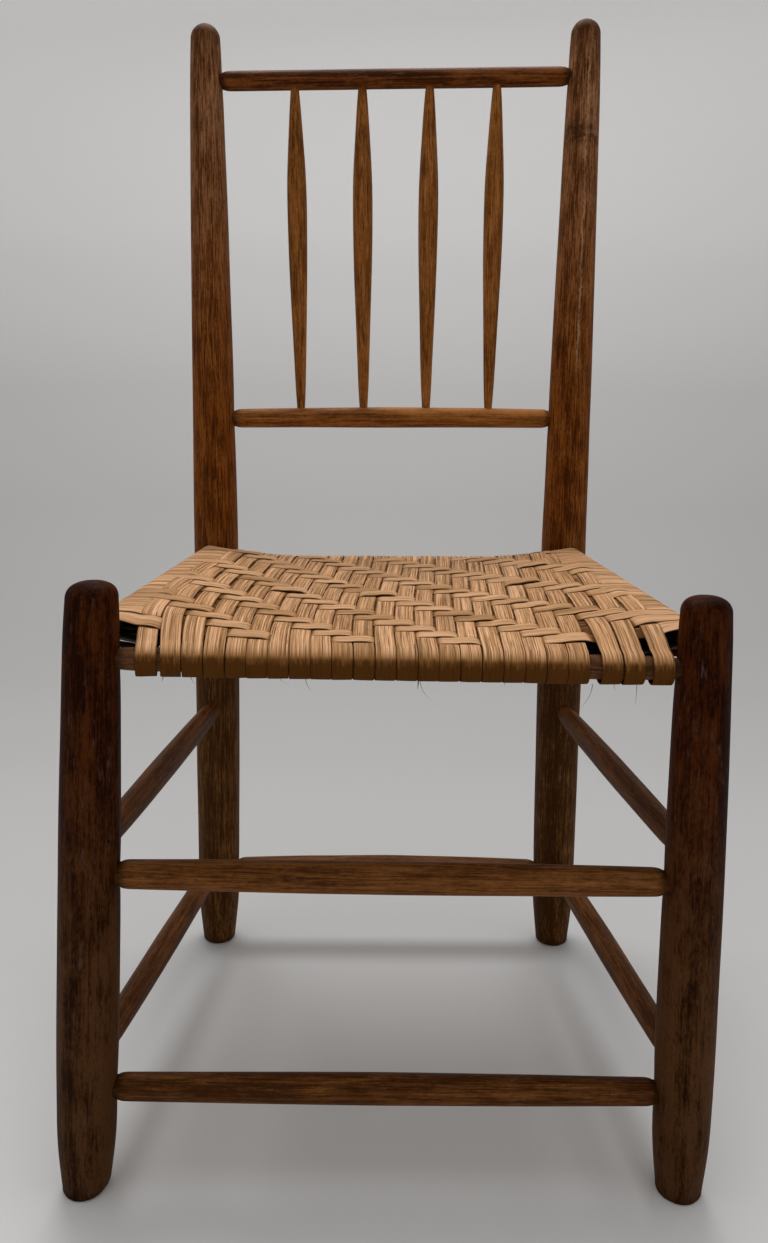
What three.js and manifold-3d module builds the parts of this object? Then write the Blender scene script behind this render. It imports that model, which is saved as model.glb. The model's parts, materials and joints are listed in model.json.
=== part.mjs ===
// Country side chair: four turned posts, turned rungs and back sticks, four swelled
// spindles, and a seat of wood splint wound over four round rails in a twill weave.
// Millimetres, +Z up, +X to the right as seen from the front, +Y from front to back.
// The origin is on the floor, at the middle of the chair's footprint.

import * as THREE from 'three';
import * as BufferGeometryUtils from 'three/addons/utils/BufferGeometryUtils.js';
import Module from 'manifold-3d';

const wasm = await Module();
wasm.setup();

// Front posts
const FRONT_FOOT_SPREAD = 431;
const FRONT_TOP_SPREAD = 411;
const FRONT_POST_HEIGHT = 447;
const FRONT_RIGHT_SHORTFALL = 6;
const FRONT_RACK = 7;
const FRONT_POST_RADIUS = 21;
const FRONT_DOME = 13;

// Back posts
const BACK_FOOT_SPREAD = 353;
const BACK_SEAT_SPREAD = 349;
const BACK_TOP_SPREAD = 374;
const BACK_POST_HEIGHT = 930;
const BACK_RIGHT_EXTRA = 9;
const BACK_SHIFT = 4;
const BACK_LEAN = 46;
const BACK_BEND_HEIGHT = 384;
const BACK_POST_RADIUS = 22;
const BACK_DOME = 15;
const FOOT_BEVEL = 3;

// Plan of the frame
const SEAT_DEPTH = 345;

// Rungs: heights on the left and on the right post, or at the front and at the back.
// The crest rail is set down from the tops of its posts
const FRONT_UPPER_LEFT = 240.5;
const FRONT_UPPER_RIGHT = 237.5;
const FRONT_LOWER_LEFT = 79;
const FRONT_LOWER_RIGHT = 77.5;
const SIDE_UPPER_FRONT = 254;
const SIDE_UPPER_BACK = 256;
const SIDE_LOWER_FRONT = 93;
const SIDE_LOWER_BACK = 87;
const BACK_STRETCHER_HEIGHT = 78;
const BACK_STRETCHER_ARCH = 3;
const CREST_DROP_LEFT = 55.3;
const CREST_DROP_RIGHT = 54.8;
const LOWER_BACK_LEFT = 546.5;
const LOWER_BACK_RIGHT = 550;
const LOWER_BACK_ARCH = 1.5;

// Rung radii at the post and at the middle
const FRONT_UPPER_END_RADIUS = 10;
const FRONT_UPPER_MIDDLE_RADIUS = 11.6;
const FRONT_LOWER_END_RADIUS = 9.25;
const FRONT_LOWER_MIDDLE_RADIUS = 10.65;
const SIDE_END_RADIUS = 9.2;
const SIDE_MIDDLE_RADIUS = 10.5;
const BACK_STRETCHER_END_RADIUS = 9.4;
const BACK_STRETCHER_MIDDLE_RADIUS = 10.6;
const STICK_END_RADIUS = 8.3;
const CREST_MIDDLE_RADIUS = 8.5;
const LOWER_BACK_MIDDLE_RADIUS = 9.2;

// Joints
const CLEARANCE = 0.35;
const CUT_OVERRUN = 4;
const RUNG_TENON_RADIUS = 6.4;
const STICK_TENON_RADIUS = 6;
const SPINDLE_TENON_RADIUS = 3.4;
const CROSS_TENON_DEPTH = 25;
const SIDE_TENON_DEPTH = 12;
const BACK_STRETCHER_TENON_DEPTH = 12;
const STICK_TENON_DEPTH = 18;
const SPINDLE_TENON_DEPTH = 9;
const SHOULDER_GAP = 0.6;
const SHOULDER_TAPER = 4;

// Spindles
const SPINDLE_COUNT = 4;
const SPINDLE_NECK_RADIUS = 4.8;
const SPINDLE_FOOT_RADIUS = 4.5;
const SPINDLE_BELLY_RADIUS = 9.8;
const SPINDLE_TOP_PITCH = 66.4;
const SPINDLE_BOTTOM_PITCH = 62.1;
const SPINDLE_TOP_SHIFT = 0.8;
const SPINDLE_BOTTOM_SHIFT = 3;

// Seat rails
const RAIL_RADIUS = 8.5;
const RAIL_TAPER = 0.3;
const RAIL_TENON_RADIUS = 5.7;
const FRONT_RAIL_LEFT = 394;
const FRONT_RAIL_RIGHT = 390.5;
const BACK_RAIL_LEFT = 398.5;
const BACK_RAIL_RIGHT = 400.5;
const SIDE_RAIL_RISE_FRONT = 14;
const SIDE_RAIL_RISE_BACK = 15;

// Splint
const STRIP_WIDTH = 13;
const STRIP_THICKNESS = 0.9;
const WEAVE_GAP = 0.8;
const FRONT_STRIP_GAP = 1.3;
const FIELD_SHIFT_FRONT = -9.5;
const BACK_STRIP_GAP = 2;
const ROW_GAP = 3;
const LEFT_CORNER_GAP = 3.5;
const RIGHT_CORNER_FIRST_GAP = 9.3;
const RIGHT_CORNER_SECOND_GAP = 2.4;
const RIGHT_CORNER_THIRD_GAP = 6.8;
const WEFT_OVER_STRIPS = 2;
const TWILL_PERIOD = 5;
const POST_MARGIN = 1.5;
const ROLL_MARGIN = 2.8;
const RAMP_MARGIN = 0.12;
const SPLICE_GAP = 12;
const CORNER_TAIL = 60;
const TURNS_PER_LENGTH = 2;

// Shares: the outlines of turned pieces, as shares of length and of the largest radius
const FRONT_POST_SHARES = [[0.09, 0.96], [0.3, 1], [0.63, 0.965], [0.86, 0.9], [0.97, 0.85]];
const FRONT_FOOT_SHARE = 0.775;
const BACK_POST_SHARES = [
  [0.05, 0.94], [0.1, 0.96], [0.29, 1], [0.46, 0.995], [0.6, 0.94],
  [0.78, 0.85], [0.93, 0.745], [0.984, 0.68],
];
const BACK_FOOT_SHARE = 0.745;
const DOME_STEP_SHARES = [0.35, 0.65, 0.88];
const RUNG_SWELL_SHARES = [[0.22, 0.6], [0.5, 1], [0.78, 0.6]];
const SPINDLE_SHARES = [[0.46, 0.94], [0.6, 1], [0.72, 1], [0.86, 0.72]];
// How far the cross strips have risen to the side rails, counted in strips from the edge
const LEFT_EDGE_SHARES = [[0.5, 0.75], [1.5, 0.5], [3.5, 0.2], [5.5, 0]];
const RIGHT_EDGE_SHARES = [[0.5, 0.75], [2.5, 0.42], [4.5, 0.15], [6.5, 0]];
// How far back each corner strip reaches, from the field outwards, as a share of the rows
const LEFT_CORNER_REACH_SHARES = [0.8];
const RIGHT_CORNER_REACH_SHARES = [0.95, 0.7, 0.4];
const BEND_EASE_SHARE = 1.2;
const SPLICE_SHARE = 0.5;
const ROLL_SLANT_SHARE = 0.125;

// Counts of faces
const POST_SIDES = 16;
const RUNG_SIDES = 10;
const SPINDLE_SIDES = 10;
const ROLL_STEPS = 4;
const ARCH_ROWS_IN = 2.5;

const lerp = THREE.MathUtils.lerp;
const Z_AXIS = new THREE.Vector3(0, 0, 1);

// Wood and splint
const darkWood = new THREE.MeshStandardMaterial({ color: 0x3f2414, roughness: 0.55, metalness: 0 });
const backWood = new THREE.MeshStandardMaterial({ color: 0x6b4021, roughness: 0.5, metalness: 0 });
const rungWood = new THREE.MeshStandardMaterial({ color: 0x57341c, roughness: 0.5, metalness: 0 });
const railWood = new THREE.MeshStandardMaterial({ color: 0x3a2315, roughness: 0.6, metalness: 0 });
const warpSplint = new THREE.MeshStandardMaterial({ color: 0xb98552, roughness: 0.6, metalness: 0 });
const weftSplint = new THREE.MeshStandardMaterial({ color: 0xc08d5a, roughness: 0.6, metalness: 0 });

const chair = new THREE.Group();

function addPiece(name, geometry, material) {
  const mesh = new THREE.Mesh(geometry, material);
  mesh.name = name;
  chair.add(mesh);
  return mesh;
}

// Closed skin over a list of rings with the same number of points, with flat ends
function skin(rings) {
  const count = rings[0].length;
  const points = rings.flat();
  const triangles = [];
  for (let ring = 0; ring + 1 < rings.length; ring++) {
    for (let side = 0; side < count; side++) {
      const a = ring * count + side;
      const b = ring * count + (side + 1) % count;
      triangles.push(a, b, b + count, a, b + count, a + count);
    }
  }
  const last = (rings.length - 1) * count;
  for (let side = 1; side + 1 < count; side++) {
    triangles.push(0, side + 1, side);
    triangles.push(last, last + side, last + side + 1);
  }
  const geometry = new THREE.BufferGeometry().setFromPoints(points);
  geometry.setIndex(triangles);
  return facingOut(geometry);
}

// Turns the faces over when the enclosed volume comes out negative
function facingOut(geometry) {
  const place = geometry.getAttribute('position');
  const index = geometry.getIndex();
  const corner = (k) => new THREE.Vector3().fromBufferAttribute(place, index.getX(k));
  let volume = 0;
  for (let k = 0; k < index.count; k += 3) {
    volume += corner(k).dot(corner(k + 1).cross(corner(k + 2)));
  }
  if (volume < 0) {
    for (let k = 0; k < index.count; k += 3) {
      const kept = index.getX(k + 1);
      index.setX(k + 1, index.getX(k + 2));
      index.setX(k + 2, kept);
    }
  }
  geometry.computeVertexNormals();
  return geometry;
}

// Posts

function frontPost(side) {
  const height = FRONT_POST_HEIGHT - (side > 0 ? FRONT_RIGHT_SHORTFALL : 0);
  const foot = new THREE.Vector3(side * FRONT_FOOT_SPREAD / 2, 0, 0);
  const top = new THREE.Vector3(side * FRONT_TOP_SPREAD / 2 + FRONT_RACK, 0, height);
  return {
    height,
    centre: (z) => foot.clone().lerp(top, z / height),
    outline: postOutline(height, FRONT_POST_RADIUS, FRONT_FOOT_SHARE, FRONT_POST_SHARES, FRONT_DOME),
  };
}

function backPost(side) {
  const height = BACK_POST_HEIGHT + (side > 0 ? BACK_RIGHT_EXTRA : 0);
  const centre = (z) => {
    if (z <= BACK_BEND_HEIGHT) {
      const spread = lerp(BACK_FOOT_SPREAD, BACK_SEAT_SPREAD, z / BACK_BEND_HEIGHT);
      return new THREE.Vector3(side * spread / 2 + BACK_SHIFT, SEAT_DEPTH, z);
    }
    const rise = (z - BACK_BEND_HEIGHT) / (height - BACK_BEND_HEIGHT);
    const bend = Math.pow(rise, BEND_EASE_SHARE);
    const spread = lerp(BACK_SEAT_SPREAD, BACK_TOP_SPREAD, bend);
    return new THREE.Vector3(side * spread / 2 + BACK_SHIFT, SEAT_DEPTH + BACK_LEAN * bend, z);
  };
  return {
    height,
    centre,
    outline: postOutline(height, BACK_POST_RADIUS, BACK_FOOT_SHARE, BACK_POST_SHARES, BACK_DOME),
  };
}

// Heights and radii of a turned post, from the bevelled foot to the domed top
function postOutline(height, radius, footShare, shares, dome) {
  const foot = radius * footShare;
  const outline = [[0, foot - FOOT_BEVEL], [FOOT_BEVEL, foot]];
  const straight = height - dome;
  for (const [along, share] of shares) {
    outline.push([along * straight, radius * share]);
  }
  const shoulder = outline[outline.length - 1][1];
  for (const step of DOME_STEP_SHARES) {
    outline.push([straight + dome * step, shoulder * Math.sqrt(1 - step * step)]);
  }
  const flat = shoulder * Math.sqrt(1 - Math.pow(DOME_STEP_SHARES.at(-1), 2)) / 2;
  outline.push([height, flat]);
  return outline;
}

function radiusAt(post, z) {
  const rows = post.outline;
  for (let row = 1; row < rows.length; row++) {
    if (z <= rows[row][0]) {
      const [lowZ, lowRadius] = rows[row - 1];
      const [highZ, highRadius] = rows[row];
      return lerp(lowRadius, highRadius, (z - lowZ) / (highZ - lowZ));
    }
  }
  return rows[rows.length - 1][1];
}

function postSolid(post) {
  const rings = post.outline.map(([z, radius]) => {
    const centre = post.centre(z);
    return Array.from({ length: POST_SIDES }, (_, side) => {
      const turn = 2 * Math.PI * side / POST_SIDES;
      const out = new THREE.Vector3(Math.cos(turn), Math.sin(turn), 0);
      return out.multiplyScalar(radius).add(centre);
    });
  });
  return skin(rings);
}

// Turned rods

// Rings of a rod whose outline is a list of distances along it and radii
function rod(start, end, outline, sides, arch = 0) {
  const along = end.clone().sub(start);
  const length = along.length();
  along.normalize();
  const across = new THREE.Vector3().crossVectors(along, Z_AXIS);
  if (across.length() < Math.abs(along.z)) across.set(1, 0, 0).addScaledVector(along, -along.x);
  across.normalize();
  const up = new THREE.Vector3().crossVectors(across, along);
  const rings = outline.map(([distance, radius]) => {
    const centre = start.clone().addScaledVector(along, distance);
    const share = distance / length;
    centre.z += arch * 4 * share * (1 - share);
    return Array.from({ length: sides }, (_, side) => {
      const turn = 2 * Math.PI * side / sides;
      return centre.clone()
        .addScaledVector(across, radius * Math.cos(turn))
        .addScaledVector(up, radius * Math.sin(turn));
    });
  });
  return skin(rings);
}

const mortises = new Map();

function addMortise(host, geometry) {
  if (!mortises.has(host)) mortises.set(host, []);
  mortises.get(host).push(geometry);
}

// A rung between two posts: tenon, tapered shoulder, swelled body, shoulder, tenon
function rung(name, ends, size, material) {
  const [first, second] = ends.map(({ post, z }) => ({ ...post, z, at: post.centre(z) }));
  const length = first.at.distanceTo(second.at);
  const surfaces = [radiusAt(first, first.z), radiusAt(second, second.z)];
  const start = surfaces[0] - size.tenonDepth;
  const finish = length - surfaces[1] + size.tenonDepth;
  const bodyStart = surfaces[0] + SHOULDER_GAP;
  const bodyEnd = length - surfaces[1] - SHOULDER_GAP;
  const swell = RUNG_SWELL_SHARES.map(([along, share]) => [
    lerp(bodyStart + SHOULDER_TAPER, bodyEnd - SHOULDER_TAPER, along),
    lerp(size.end, size.middle, share),
  ]);
  const outline = [
    [start, size.tenon],
    [bodyStart, size.tenon],
    [bodyStart + SHOULDER_TAPER, size.end],
    ...swell,
    [bodyEnd - SHOULDER_TAPER, size.end],
    [bodyEnd, size.tenon],
    [finish, size.tenon],
  ];
  const arch = size.arch ?? 0;
  addPiece(name, rod(first.at, second.at, outline, RUNG_SIDES, arch), material);
  const hole = size.tenon + CLEARANCE / Math.cos(Math.PI / RUNG_SIDES);
  const cuts = [
    [[start - CLEARANCE, hole], [surfaces[0] + CUT_OVERRUN, hole]],
    [[length - surfaces[1] - CUT_OVERRUN, hole], [finish + CLEARANCE, hole]],
  ];
  cuts.forEach((cut, k) => {
    addMortise(ends[k].host, rod(first.at, second.at, cut, RUNG_SIDES, arch));
  });
  return { at: (share) => archedPoint(first.at, second.at, share, arch) };
}

function archedPoint(start, end, share, arch) {
  const point = start.clone().lerp(end, share);
  point.z += arch * 4 * share * (1 - share);
  return point;
}

// Booleans

function solidOf(geometry) {
  const bare = geometry.clone();
  bare.deleteAttribute('normal');
  bare.deleteAttribute('uv');
  const merged = BufferGeometryUtils.mergeVertices(bare);
  return new wasm.Manifold(new wasm.Mesh({
    numProp: 3,
    vertProperties: new Float32Array(merged.getAttribute('position').array),
    triVerts: new Uint32Array(merged.getIndex().array),
  }));
}

function geometryOf(solid) {
  const mesh = solid.getMesh();
  const geometry = new THREE.BufferGeometry();
  geometry.setAttribute('position', new THREE.BufferAttribute(mesh.vertProperties, 3));
  geometry.setIndex(new THREE.BufferAttribute(mesh.triVerts, 1));
  geometry.computeVertexNormals();
  return geometry;
}

function cutMortises(geometry, host) {
  let solid = solidOf(geometry);
  for (const cut of mortises.get(host) ?? []) {
    solid = solid.subtract(solidOf(cut));
  }
  return geometryOf(solid);
}

// Frame

const posts = {
  front_left_post: frontPost(-1),
  front_right_post: frontPost(1),
  back_left_post: backPost(-1),
  back_right_post: backPost(1),
};

function endAt(host, z) {
  return { host, post: posts[host], z };
}

const rungSize = (end, middle, tenonDepth, arch) => ({
  end, middle, tenonDepth, arch, tenon: RUNG_TENON_RADIUS,
});
const upperFront = rungSize(FRONT_UPPER_END_RADIUS, FRONT_UPPER_MIDDLE_RADIUS, CROSS_TENON_DEPTH);
const lowerFront = rungSize(FRONT_LOWER_END_RADIUS, FRONT_LOWER_MIDDLE_RADIUS, CROSS_TENON_DEPTH);
const sideRung = rungSize(SIDE_END_RADIUS, SIDE_MIDDLE_RADIUS, SIDE_TENON_DEPTH);
const backRung = rungSize(
  BACK_STRETCHER_END_RADIUS,
  BACK_STRETCHER_MIDDLE_RADIUS,
  BACK_STRETCHER_TENON_DEPTH,
  BACK_STRETCHER_ARCH,
);

rung('front_upper_stretcher', [
  endAt('front_left_post', FRONT_UPPER_LEFT),
  endAt('front_right_post', FRONT_UPPER_RIGHT),
], upperFront, rungWood);
rung('front_lower_stretcher', [
  endAt('front_left_post', FRONT_LOWER_LEFT),
  endAt('front_right_post', FRONT_LOWER_RIGHT),
], lowerFront, rungWood);
rung('back_stretcher', [
  endAt('back_left_post', BACK_STRETCHER_HEIGHT),
  endAt('back_right_post', BACK_STRETCHER_HEIGHT),
], backRung, rungWood);
for (const side of ['left', 'right']) {
  rung(`${side}_upper_stretcher`, [
    endAt(`front_${side}_post`, SIDE_UPPER_FRONT),
    endAt(`back_${side}_post`, SIDE_UPPER_BACK),
  ], sideRung, rungWood);
  rung(`${side}_lower_stretcher`, [
    endAt(`front_${side}_post`, SIDE_LOWER_FRONT),
    endAt(`back_${side}_post`, SIDE_LOWER_BACK),
  ], sideRung, rungWood);
}

// Seat rails, thicker where the splint lies on them
const crossRail = {
  end: RAIL_RADIUS - RAIL_TAPER,
  middle: RAIL_RADIUS,
  tenon: RAIL_TENON_RADIUS,
  tenonDepth: CROSS_TENON_DEPTH,
};
const sideRail = { ...crossRail, tenonDepth: SIDE_TENON_DEPTH };
const sideRailHeights = {
  left: [FRONT_RAIL_LEFT + SIDE_RAIL_RISE_FRONT, BACK_RAIL_LEFT + SIDE_RAIL_RISE_BACK],
  right: [FRONT_RAIL_RIGHT + SIDE_RAIL_RISE_FRONT, BACK_RAIL_RIGHT + SIDE_RAIL_RISE_BACK],
};

rung('front_seat_rail', [
  endAt('front_left_post', FRONT_RAIL_LEFT),
  endAt('front_right_post', FRONT_RAIL_RIGHT),
], crossRail, railWood);
rung('back_seat_rail', [
  endAt('back_left_post', BACK_RAIL_LEFT),
  endAt('back_right_post', BACK_RAIL_RIGHT),
], crossRail, railWood);
for (const side of ['left', 'right']) {
  rung(`${side}_seat_rail`, [
    endAt(`front_${side}_post`, sideRailHeights[side][0]),
    endAt(`back_${side}_post`, sideRailHeights[side][1]),
  ], sideRail, railWood);
}

// Back sticks and spindles
const stick = (middle, arch) => ({
  end: STICK_END_RADIUS,
  middle,
  tenon: STICK_TENON_RADIUS,
  tenonDepth: STICK_TENON_DEPTH,
  arch,
});
const backSticks = {
  crest_rail: {
    heights: [
      posts.back_left_post.height - CREST_DROP_LEFT,
      posts.back_right_post.height - CREST_DROP_RIGHT,
    ],
    size: stick(CREST_MIDDLE_RADIUS, 0),
  },
  lower_back_rail: {
    heights: [LOWER_BACK_LEFT, LOWER_BACK_RIGHT],
    size: stick(LOWER_BACK_MIDDLE_RADIUS, LOWER_BACK_ARCH),
  },
};

function stickPoint(name, x) {
  const { heights, size } = backSticks[name];
  const left = posts.back_left_post.centre(heights[0]);
  const right = posts.back_right_post.centre(heights[1]);
  return archedPoint(left, right, (x - left.x) / (right.x - left.x), size.arch);
}

for (let number = 1; number <= SPINDLE_COUNT; number++) {
  const place = number - (SPINDLE_COUNT + 1) / 2;
  const footX = BACK_SHIFT + SPINDLE_BOTTOM_SHIFT + place * SPINDLE_BOTTOM_PITCH;
  const headX = BACK_SHIFT + SPINDLE_TOP_SHIFT + place * SPINDLE_TOP_PITCH;
  const foot = stickPoint('lower_back_rail', footX);
  const head = stickPoint('crest_rail', headX);
  const length = foot.distanceTo(head);
  const bodyStart = LOWER_BACK_MIDDLE_RADIUS + SHOULDER_GAP;
  const bodyEnd = length - CREST_MIDDLE_RADIUS - SHOULDER_GAP;
  const start = LOWER_BACK_MIDDLE_RADIUS - SPINDLE_TENON_DEPTH;
  const finish = length - CREST_MIDDLE_RADIUS + SPINDLE_TENON_DEPTH;
  const belly = SPINDLE_SHARES.map(([along, share]) => [
    lerp(bodyStart, bodyEnd, along),
    SPINDLE_BELLY_RADIUS * share,
  ]);
  const outline = [
    [start, SPINDLE_TENON_RADIUS],
    [bodyStart, SPINDLE_TENON_RADIUS],
    [bodyStart + SHOULDER_GAP, SPINDLE_FOOT_RADIUS],
    ...belly,
    [bodyEnd - SHOULDER_GAP, SPINDLE_NECK_RADIUS],
    [bodyEnd, SPINDLE_TENON_RADIUS],
    [finish, SPINDLE_TENON_RADIUS],
  ];
  addPiece(`spindle_${number}`, rod(foot, head, outline, SPINDLE_SIDES), backWood);
  const hole = SPINDLE_TENON_RADIUS + CLEARANCE / Math.cos(Math.PI / SPINDLE_SIDES);
  const lowCut = [[start - CLEARANCE, hole], [bodyStart + CUT_OVERRUN, hole]];
  const highCut = [[bodyEnd - CUT_OVERRUN, hole], [finish + CLEARANCE, hole]];
  addMortise('lower_back_rail', rod(foot, head, lowCut, SPINDLE_SIDES));
  addMortise('crest_rail', rod(foot, head, highCut, SPINDLE_SIDES));
}

for (const [name, { heights, size }] of Object.entries(backSticks)) {
  rung(name, [
    endAt('back_left_post', heights[0]),
    endAt('back_right_post', heights[1]),
  ], size, backWood);
  const mesh = chair.getObjectByName(name);
  mesh.geometry = cutMortises(mesh.geometry, name);
}

for (const [name, post] of Object.entries(posts)) {
  const wood = name.startsWith('front') ? darkWood : backWood;
  addPiece(name, cutMortises(postSolid(post), name), wood);
}

// Woven seat

const rollRadius = (RAIL_RADIUS + CLEARANCE) / Math.cos(Math.PI / ROLL_STEPS / 2) + STRIP_THICKNESS / 2;
const rollOuter = rollRadius + STRIP_THICKNESS / 2;
const weaveSwing = (STRIP_THICKNESS + WEAVE_GAP) / 2;

const railEnds = {
  front: [
    posts.front_left_post.centre(FRONT_RAIL_LEFT),
    posts.front_right_post.centre(FRONT_RAIL_RIGHT),
  ],
  back: [
    posts.back_left_post.centre(BACK_RAIL_LEFT),
    posts.back_right_post.centre(BACK_RAIL_RIGHT),
  ],
  left: [
    posts.front_left_post.centre(sideRailHeights.left[0]),
    posts.back_left_post.centre(sideRailHeights.left[1]),
  ],
  right: [
    posts.front_right_post.centre(sideRailHeights.right[0]),
    posts.back_right_post.centre(sideRailHeights.right[1]),
  ],
};

// Point of a rail's axis at a place along x, for the front and back rails, or along y
function railAt(name, place) {
  const [start, end] = railEnds[name];
  const key = name === 'front' || name === 'back' ? 'x' : 'y';
  return start.clone().lerp(end, (place - start[key]) / (end[key] - start[key]));
}

// Places of the strips across the seat, at the front and at the back rail
const frontPitch = STRIP_WIDTH + FRONT_STRIP_GAP;
const roomFrom = (end, post, z) => end.x + radiusAt(post, z) + POST_MARGIN + STRIP_WIDTH / 2;
const roomTo = (end, post, z) => end.x - radiusAt(post, z) - POST_MARGIN - STRIP_WIDTH / 2;
const backFieldStart = roomFrom(railEnds.back[0], posts.back_left_post, BACK_RAIL_LEFT);
const backFieldEnd = roomTo(railEnds.back[1], posts.back_right_post, BACK_RAIL_RIGHT);
const backRoom = backFieldEnd - backFieldStart;
const fullSpaces = Math.floor(backRoom / (STRIP_WIDTH + BACK_STRIP_GAP));
const backPitch = backRoom / fullSpaces;
const frontFieldStart = FIELD_SHIFT_FRONT - frontPitch * fullSpaces / 2;
const frontRoomStart = roomFrom(railEnds.front[0], posts.front_left_post, FRONT_RAIL_LEFT);
const frontRoomEnd = roomTo(railEnds.front[1], posts.front_right_post, FRONT_RAIL_RIGHT);

// Places of the cross strips, along the middle of the seat and along the side rails
const middleFirst = rollOuter + ROLL_MARGIN + STRIP_WIDTH / 2;
const middleRoom = SEAT_DEPTH - 2 * middleFirst;
const rows = 1 + Math.floor(middleRoom / (STRIP_WIDTH + ROW_GAP));
const middlePitch = middleRoom / (rows - 1);
const frontClear = FRONT_POST_RADIUS + POST_MARGIN + STRIP_WIDTH / 2;
const backClear = BACK_POST_RADIUS + POST_MARGIN + STRIP_WIDTH / 2;
const edgePitch = (SEAT_DEPTH - frontClear - backClear) / (rows - 1);
const rowHalf = STRIP_WIDTH / 2 / middlePitch;
const rampRow = RAMP_MARGIN / middlePitch;
const middleY = (row) => middleFirst + (row - 1) * middlePitch;
const edgeY = (row) => frontClear + (row - 1) * edgePitch;
const depthShare = (row) => middleY(row) / SEAT_DEPTH;

// Each full strip's centre line, as its x at the front rail and at the back rail, and the
// last row that it reaches
const strips = [];
for (let place = 0; place <= fullSpaces; place++) {
  strips.push({
    front: frontFieldStart + place * frontPitch,
    back: backFieldStart + place * backPitch,
    lastRow: rows,
    full: true,
  });
}
const lineX = (strip, share) => lerp(strip.front, strip.back, share);

// A corner strip lies a gap outside its neighbour at the front and closes up to it where it
// ends, and is left out where it would run into the post
function cornerStrip(neighbour, side, gap, reachShare) {
  const front = neighbour.front + side * (STRIP_WIDTH + gap);
  const lastRow = Math.round(rows * reachShare);
  const share = depthShare(lastRow);
  const end = lineX(neighbour, share) + side * frontPitch;
  return { front, back: front + (end - front) / share, lastRow, full: false };
}
const fitsFront = (strip) => strip.front > frontRoomStart && strip.front < frontRoomEnd;
const leftGaps = [LEFT_CORNER_GAP];
const rightGaps = [RIGHT_CORNER_FIRST_GAP, RIGHT_CORNER_SECOND_GAP, RIGHT_CORNER_THIRD_GAP];
leftGaps.forEach((gap, k) => {
  const strip = cornerStrip(strips[0], -1, gap, LEFT_CORNER_REACH_SHARES[k]);
  if (fitsFront(strip)) strips.unshift(strip);
});
rightGaps.forEach((gap, k) => {
  const strip = cornerStrip(strips.at(-1), 1, gap, RIGHT_CORNER_REACH_SHARES[k]);
  if (fitsFront(strip)) strips.push(strip);
});

// Strips are counted from 1, from the left
const stripCount = strips.length;
const stripX = (strip, share) => lineX(strips[strip - 1], share);
const lastRowOf = (strip) => strips[strip - 1].lastRow;
const fullStrips = strips.flatMap(({ full }, k) => (full ? [k + 1] : []));
const cornerStrips = strips.flatMap(({ full }, k) => (full ? [] : [k + 1]));

// The twill: each cross strip passes over two strips and under three, stepping one
// strip to the left with each row
function weftOver(strip, row) {
  return (strip + row - 1) % TWILL_PERIOD < WEFT_OVER_STRIPS;
}

function tableValue(table, key) {
  if (key <= table[0][0]) return table[0][1];
  for (let k = 1; k < table.length; k++) {
    if (key <= table[k][0]) {
      const share = (key - table[k - 1][0]) / (table[k][0] - table[k - 1][0]);
      return lerp(table[k - 1][1], table[k][1], share);
    }
  }
  return table.at(-1)[1];
}

const isLeft = (column) => column < stripCount / 2;

function edgeShare(column) {
  if (isLeft(column)) return tableValue(LEFT_EDGE_SHARES, column);
  return tableValue(RIGHT_EDGE_SHARES, stripCount + 1 - column);
}

// The side rise fades out over the first and last rows
const archTable = [[0, 0], [ARCH_ROWS_IN, 1], [rows + 1 - ARCH_ROWS_IN, 1], [rows + 1, 0]];
const isArchKink = (row) => Math.abs(row - ARCH_ROWS_IN) < rowHalf / 2
  || Math.abs(row - (rows + 1 - ARCH_ROWS_IN)) < rowHalf / 2;

// Point of the weave at an x, a column, a row and a level, 1 for over and -1 for under
function seatPoint(x, column, row, level) {
  const share = edgeShare(column);
  const y = lerp(middleY(row), edgeY(row), share);
  const side = isLeft(column) ? 'left' : 'right';
  const front = railAt('front', x).z + rollRadius - weaveSwing;
  const back = railAt('back', x).z + rollRadius - weaveSwing;
  const base = lerp(front, back, depthShare(row));
  const rise = railAt(side, edgeY(row)).z + rollRadius - base;
  const z = base + share * tableValue(archTable, row) * rise;
  return new THREE.Vector3(x, y, z + level * weaveSwing);
}

// One cross section of a flat strip: two edge points and the way its thickness goes
function section(left, right, normal) {
  const out = normal.clone().multiplyScalar(STRIP_THICKNESS / 2);
  return [
    left.clone().add(out), right.clone().add(out),
    right.clone().sub(out), left.clone().sub(out),
  ];
}

// Half a turn of a front-to-back strip round a rail, between two angles in the y-z plane
function warpRoll(rail, x, fromTurn, toTurn) {
  return Array.from({ length: ROLL_STEPS + 1 }, (_, step) => {
    const turn = lerp(fromTurn, toTurn, step / ROLL_STEPS);
    const normal = new THREE.Vector3(0, Math.cos(turn), Math.sin(turn));
    const edges = [-1, 1].map((side) => {
      const point = railAt(rail, x + side * STRIP_WIDTH / 2);
      point.x = x + side * STRIP_WIDTH / 2;
      return point.addScaledVector(normal, rollRadius);
    });
    return section(edges[0], edges[1], normal);
  });
}

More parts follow.
